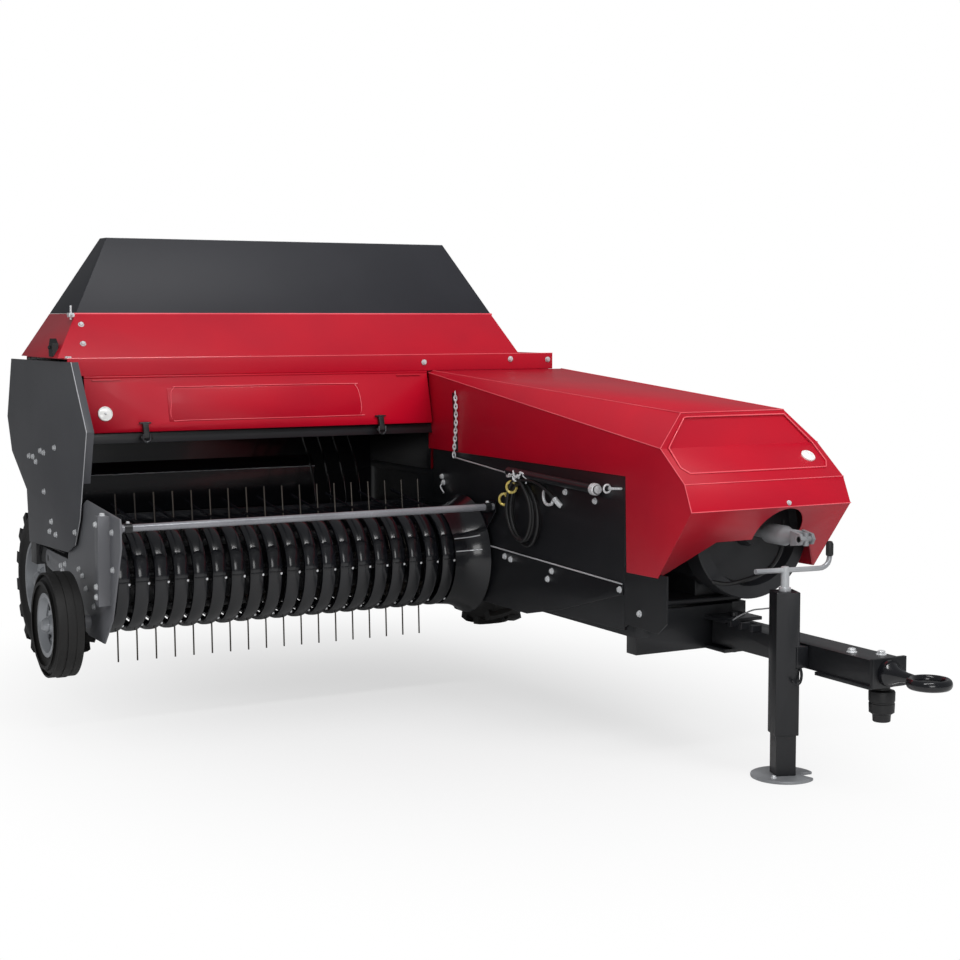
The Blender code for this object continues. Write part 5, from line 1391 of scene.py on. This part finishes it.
@dataclass
class Drive(SubAssembly):
    """Flywheel, input shaft with its yoke, and the gearbox behind."""

    shaft: tuple = (0.785, 0.765)
    front: float = -1.570
    back: float = -1.480
    radius: float = 0.240
    cross_y: float = -1.855
    hose: tuple = ((0.600, -1.590, 0.600), (0.640, -1.620, 0.594), (0.690, -1.645, 0.606),
                   (0.745, -1.655, 0.622), (0.796, -1.655, 0.645), (0.836, -1.650, 0.685),
                   (0.862, -1.640, 0.740), (0.875, -1.625, 0.800))
    hose_radius: float = 0.0075

    def build(self) -> None:
        """Turned flywheel, forged yoke and its cross, cast gearbox, and the hose in the nose."""
        self.build_flywheel()
        self.soften("input_shaft", PHOSPHATED, 0.002)
        self.soften("gearbox", CAST, 0.006)
        x, z = self.shaft
        cross = joined(tube([(x - 0.030, self.cross_y, z), (x + 0.030, self.cross_y, z)], 0.010, 18),
                       tube([(x, self.cross_y, z - 0.022), (x, self.cross_y, z + 0.022)], 0.010, 18))
        self.put("joint_cross", cross, PHOSPHATED, "driveline")
        self.put("nose_hose", tube(curve(self.hose, 48), self.hose_radius, 12), RUBBER, "machine")

    def build_flywheel(self) -> None:
        """Flywheel with a thick rim, a thin web and a hub."""
        mid, half = (self.front + self.back) / 2, (self.back - self.front) / 2
        r, rim = self.radius, self.radius - 0.045
        profile = [(-half, r - 0.003), (-half + 0.003, r), (half - 0.003, r), (half, r - 0.003), (half, rim),
                   (0.012, rim - 0.010), (0.012, 0.060), (half + 0.015, 0.050), (half + 0.015, 0.0203),
                   (-half - 0.010, 0.0203), (-half - 0.010, 0.050), (-0.012, 0.060), (-0.012, rim - 0.010),
                   (-half, rim)]
        wheel = lathe(profile, Axis.Y, (self.shaft[0], mid, self.shaft[1]), 96)
        self.put("flywheel_turned", wheel, CAST, "driveline", stands_for=["flywheel"], sharp=32.0)


@dataclass
class Towing(SubAssembly):
    """Drawbar, towing eye, cable socket, jack and its crank."""

    eye: tuple = (0.749, -2.485, 0.400)
    eye_radius: float = 0.057
    shank_steps: tuple = (0.050, 0.070, 0.100, 0.125, 0.145, 0.160, 0.163, 0.1645, 0.1827)
    shank_radii: tuple = (0.012, 0.0145, 0.0165, 0.020, 0.026, 0.034, 0.036, 0.042, 0.042)
    socket_place: tuple = (0.782, -2.240, 0.3497)
    socket: tuple = ((0.0, 0.0), (0.0, 0.026), (-0.016, 0.026), (-0.020, 0.040), (-0.024, 0.042),
                     (-0.052, 0.0415), (-0.054, 0.0395), (-0.058, 0.0395), (-0.060, 0.041), (-0.088, 0.040),
                     (-0.094, 0.031), (-0.098, 0.029), (-0.116, 0.028), (-0.118, 0.026), (-0.118, 0.0))
    jack: tuple = (0.640, -1.930)
    leg_half: float = 0.034
    leg_turn: float = -20.0
    leg_ends: tuple = (0.010, 0.475)
    foot_radius: float = 0.105
    foot_arc: tuple = (-14.0, 302.0)
    foot_slot: tuple = ((0.050, -0.062), (0.048, -0.040), (0.062, -0.022))
    crank_route: tuple = ((0.520, 0.684), (0.640, 0.681), (0.770, 0.678), (0.800, 0.681), (0.818, 0.694),
                          (0.824, 0.715), (0.824, 0.740), (0.824, 0.760))
    crank_radius: float = 0.0085
    stem: tuple = ((0.6133, 0.0), (0.6133, 0.020), (0.624, 0.020), (0.627, 0.014), (0.690, 0.014),
                   (0.693, 0.011), (0.694, 0.0))
    grip_x: float = 0.824
    grip: tuple = ((0.716, 0.0), (0.716, 0.0105), (0.720, 0.0125), (0.755, 0.0125), (0.764, 0.0085),
                   (0.766, 0.0))
    hook: tuple = ((0.664, -1.972, 0.388), (0.664, -1.990, 0.350), (0.655, -1.994, 0.322),
                   (0.640, -1.990, 0.318), (0.630, -1.988, 0.332))
    cable: tuple = ((0.694, -1.560, 0.446), (0.672, -1.640, 0.482), (0.655, -1.740, 0.520),
                    (0.640, -1.820, 0.538), (0.632, -1.884, 0.552))
    clamp_places: tuple = (-1.600, -1.660, -1.720)
    beam_bolts: tuple = ((0.735, -2.150, 0.440), (0.790, -2.225, 0.440))

    def build(self) -> None:
        """Everything that swings with the drawbar, and the jack's leg."""
        self.soften("drawbar", FRAME_BLACK, 0.004)
        self.soften("jack_tube", FRAME_BLACK, 0.004)
        self.build_leg()
        self.build_eye()
        self.build_crank()
        self.build_cable()
        self.put("drawbar_bolts", bolts(self.beam_bolts, UPWARDS, 0.017), ZINC, "towing")

    def build_leg(self) -> None:
        """Square leg, turned as the tube is, on a plate foot with an open slot at its edge."""
        x, y = self.jack
        a, half = math.radians(self.leg_turn), self.leg_half
        turn = np.array([(math.cos(a), math.sin(a)), (-math.sin(a), math.cos(a))])
        square = np.array([(-half, -half), (half, -half), (half, half), (-half, half)]) @ turn + (x, y)
        self.put("jack_leg_square", extrude(square, Axis.Z, *self.leg_ends), FRAME_BLACK, "stand",
                 stands_for=["jack_leg"], bevel=0.003)
        arc = np.radians(np.linspace(*self.foot_arc, 60))
        edge = self.foot_radius * np.stack([np.cos(arc), np.sin(arc)], -1)
        outline = np.concatenate([edge, np.array(self.foot_slot)]) + (x, y)
        self.put("jack_foot", extrude(outline, Axis.Z, 0.0, 0.010), PHOSPHATED, "stand", bevel=0.0025)
        self.put("foot_bolt", bolts([(x - 0.060, y - 0.030, 0.010)], UPWARDS, SMALL_WASHER), ZINC, "stand")

    def build_eye(self) -> None:
        """Forged ring on a tapered shank with a round pad, and the parked cable socket."""
        x, y, z = self.eye
        a = np.linspace(0, 2 * np.pi, 16, endpoint=False)
        section = np.stack([0.0165 * np.sin(a), self.eye_radius + 0.0125 * np.cos(a)], -1)
        ring = lathe(section, Axis.Z, self.eye, 64)
        route = np.array([(x, y + s, z) for s in self.shank_steps])
        shank = sweep(route, circle(1.0, 28) * np.array(self.shank_radii)[:, None, None])
        self.put("towing_eye_forged", joined(ring, shank), ENAMEL, "towing", stands_for=["towing_eye"],
                 sharp=40.0)
        socket = lathe(self.socket, Axis.Z, self.socket_place, 48, closed=False)
        self.put("parked_socket_moulded", socket, RUBBER, "towing", stands_for=["parked_socket"], sharp=28.0)

    def build_crank(self) -> None:
        """Crank: stem, arm and upturned grip."""
        x, y = self.jack
        arm = tube(curve([(place, y, z) for place, z in self.crank_route], 48), self.crank_radius, 18)
        stem = lathe(self.stem, Axis.Z, (x, y, 0.0), 28, closed=False)
        self.put("jack_crank_bent", joined(arm, stem), WIRE, "towing", stands_for=["jack_crank"], sharp=40.0)
        grip = lathe(self.grip, Axis.Z, (self.grip_x, y, 0.0), 20, closed=False)
        self.put("crank_grip", grip, RUBBER, "towing")

    def build_cable(self) -> None:
        """Hook on the jack's tube, and the cable led along the drawbar under its clamps."""
        self.put("jack_hook", tube(curve(self.hook, 24), 0.0048, 10), FRAME_BLACK, "towing")
        self.put("drawbar_cable", tube(curve(self.cable, 32), 0.0026, LINE_SIDES), WIRE, "towing")
        clamps = joined(*[box((0.672, y, 0.440), (0.712, y + 0.018, 0.462)) for y in self.clamp_places])
        self.put("cable_clamps", clamps, FRAME_BLACK, "towing", bevel=0.002)


@dataclass
class Chassis(SubAssembly):
    """Bale chamber with its plunger, rails, axle, knotters, needles, tension and chute."""

    plain: tuple = (("bale_chamber", 0.002), ("main_rails", 0.004), ("axle_beam", 0.004),
                    ("cross_frame", 0.003), ("needle_yoke", 0.002), ("bale_chute", 0.001))
    plunger: tuple = ((0.3965, 0.130, 0.508), (0.8475, 0.760, 0.852))
    side_x: float = 0.8573
    bolt_rows: tuple = (0.520, 0.840)
    bolt_reach: tuple = (-0.900, 1.300)
    bolts_per_row: int = 12
    spring_places: tuple = (0.334, 0.910)
    spring_y: float = 1.700
    spring_ends: tuple = (0.940, 1.095)

    def build(self) -> None:
        """Frame parts with soft edges, the plunger at the feed opening, bolts, and tension springs."""
        for node, width in self.plain:
            self.soften(node, FRAME_BLACK, width)
        self.soften("knotter_stack", CAST, 0.002)
        self.soften("bale_tension", FRAME_BLACK, 0.002)
        self.put("plunger", box(*self.plunger), FRAME_BLACK, "machine", bevel=0.004)
        row = np.linspace(*self.bolt_reach, self.bolts_per_row)
        sides = [(self.side_x, y, z) for z in self.bolt_rows for y in row]
        self.put("chamber_bolts", bolts(sides, LEFTWARDS, 0.011), ZINC, "machine")
        low, high = self.spring_ends
        springs = joined(*[coil((x, self.spring_y, low), (x, self.spring_y, high), 0.0225, 9.0, 0.0035)
                           for x in self.spring_places])
        self.put("tension_springs", springs, SPRING, "machine")


@dataclass(frozen=True)
class Lamp:
    """A soft box: where it stands, what it looks at, its sides and power, and whether paint mirrors it."""

    name: str
    place: tuple
    aim: tuple
    wide: float
    deep: float
    power: float
    mirrored: bool = False

    def build(self) -> None:
        """Hang the lamp so that it looks along the line from its place to its aim."""
        data = bpy.data.lights.new(self.name, "AREA")
        data.shape = "RECTANGLE"
        data.energy = self.power
        data.size = self.wide
        data.size_y = self.deep
        lamp = bpy.data.objects.new(self.name, data)
        lamp.location = self.place
        lamp.visible_glossy = self.mirrored
        x, y, z = np.subtract(self.aim, self.place)
        lamp.rotation_euler = (math.atan2(math.hypot(x, y), -z), 0.0, math.atan2(-x, y))
        bpy.context.scene.collection.objects.link(lamp)


@dataclass
class Studio:
    """Camera, lamps, world and floor of the picture."""

    eye: tuple = (-2.9385, -6.4026, 1.501)
    yaw: float = 28.706
    pitch: float = 4.072
    focal_pixels: float = 1751.43
    shift: float = -0.04
    sensor: float = 36.0
    world_light: float = 0.26
    floor_reach: float = 40.0
    lamps: tuple = (Lamp("key", (2.2, -6.5, 4.8), (0.3, -0.5, 0.8), 3.0, 3.0, 225.0),
                    Lamp("fill", (-7.0, -3.0, 3.0), (-0.5, 0.0, 0.8), 3.0, 3.0, 82.0),
                    Lamp("front", (-2.0, -7.5, 2.4), (-0.4, -0.3, 0.6), 2.5, 2.5, 80.0, True),
                    Lamp("top", (0.0, 0.0, 5.5), (0.0, 0.2, 0.8), 4.5, 4.5, 75.0),
                    Lamp("sheen", (-0.5, -3.2, 4.6), (-0.4, -0.3, 0.6), 3.4, 0.4, 80.0, True))

    def build(self) -> None:
        """Set the camera, the lights and the pale ground."""
        self.build_camera()
        self.build_world()
        for lamp in self.lamps:
            lamp.build()
        self.build_floor()

    def build_camera(self) -> None:
        """Camera at the photograph's angle."""
        data = bpy.data.cameras.new("camera")
        data.sensor_width = self.sensor
        data.lens = self.focal_pixels / IMAGE_WIDTH * data.sensor_width
        data.shift_y = self.shift
        camera = bpy.data.objects.new("camera", data)
        camera.location = self.eye
        camera.rotation_euler = (math.radians(90.0 - self.pitch), 0.0, math.radians(-self.yaw))
        bpy.context.scene.collection.objects.link(camera)
        bpy.context.scene.camera = camera

    def build_world(self) -> None:
        """White where the camera looks, softer as a light."""
        world = bpy.data.worlds.new("studio_world")
        bpy.context.scene.world = world
        world.use_nodes = True
        tree = world.node_tree
        tree.nodes.clear()
        rays = add_node(tree, "ShaderNodeLightPath")
        soft = add_node(tree, "ShaderNodeBackground",
                        {"Color": linear("EDEFF2"), "Strength": self.world_light})
        white = add_node(tree, "ShaderNodeBackground", {"Color": (1, 1, 1, 1), "Strength": 1.0})
        mix = add_node(tree, "ShaderNodeMixShader", None,
                       {0: rays.outputs["Is Camera Ray"], 1: soft.outputs[0], 2: white.outputs[0]})
        add_node(tree, "ShaderNodeOutputWorld", None, {0: mix.outputs[0]})

    def build_floor(self) -> None:
        """Pale floor that keeps a light shadow and turns to the background's white away from the machine."""
        mesh = bpy.data.meshes.new("floor")
        reach = self.floor_reach
        corners = [(-reach, -reach, 0), (reach, -reach, 0), (reach, reach, 0), (-reach, reach, 0)]
        mesh.from_pydata(corners, [], [(0, 1, 2, 3)])
        floor = bpy.data.objects.new("floor", mesh)
        bpy.context.scene.collection.objects.link(floor)
        mesh.materials.append(self.floor_material())

    def floor_material(self) -> bpy.types.Material:
        """Matt pale floor, mixed for the camera with plain white by the distance from the machine's middle.

        Returns:
            The floor's material.
        """
        made = bpy.data.materials.new("pale_studio_floor")
        made.use_nodes = True
        tree = made.node_tree
        tree.nodes.clear()
        place = add_node(tree, "ShaderNodeTexCoord").outputs["Object"]
        flat = add_node(tree, "ShaderNodeMapping", {"Scale": (0.42, 0.30, 0.0), "Location": (0.0, 0.12, 0.0)},
                        {"Vector": place}).outputs[0]
        away = add_node(tree, "ShaderNodeVectorMath", None, {0: flat}, operation="LENGTH").outputs["Value"]
        fade = add_node(tree, "ShaderNodeMapRange", {1: 0.10, 2: 0.85, 3: 0.62}, {0: away},
                        interpolation_type="SMOOTHSTEP").outputs[0]
        rays = add_node(tree, "ShaderNodeLightPath").outputs["Is Camera Ray"]
        seen = add_node(tree, "ShaderNodeMath", None, {0: fade, 1: rays}, operation="MULTIPLY").outputs[0]
        matt = add_node(tree, "ShaderNodeBsdfDiffuse", {"Color": linear("D4D4D4")})
        white = add_node(tree, "ShaderNodeEmission", {"Color": (1, 1, 1, 1), "Strength": 1.0})
        mix = add_node(tree, "ShaderNodeMixShader", None, {0: seen, 1: matt.outputs[0], 2: white.outputs[0]})
        add_node(tree, "ShaderNodeOutputMaterial", None, {0: mix.outputs[0]})
        return made


def main() -> None:
    """Build every group in order."""
    logging.basicConfig(level=logging.INFO, format="%(message)s")
    bpy.context.scene.view_settings.view_transform = "Standard"
    Studio().build()
    road = {"radius": 0.335, "width": 0.220, "rim": 0.170, "bead": 0.094, "bore": 0.0223, "dish": 0.052,
            "lugs": 16}
    gauge = {"radius": 0.194, "width": 0.115, "rim": 0.105, "bead": 0.040, "bore": 0.0123, "dish": 0.006,
             "lugs": 0}
    wheels = [Wheel("wheel_right", centre=(-0.875, 1.270, 0.335), side=-1, **road),
              Wheel("wheel_left", centre=(1.200, 1.060, 0.335), side=1, **road),
              Wheel("gauge_wheel", centre=(-1.2525, -0.120, 0.384), side=-1, **gauge)]
    for group in [Chassis(), FeedHouse(), Hood(), FrontDoor(), Cowl(), SidePanel(), Drive(), Towing(),
                  Pickup(), Reel(), WindGuard(), *wheels]:
        group.build()


if __name__ == "__main__":
    main()
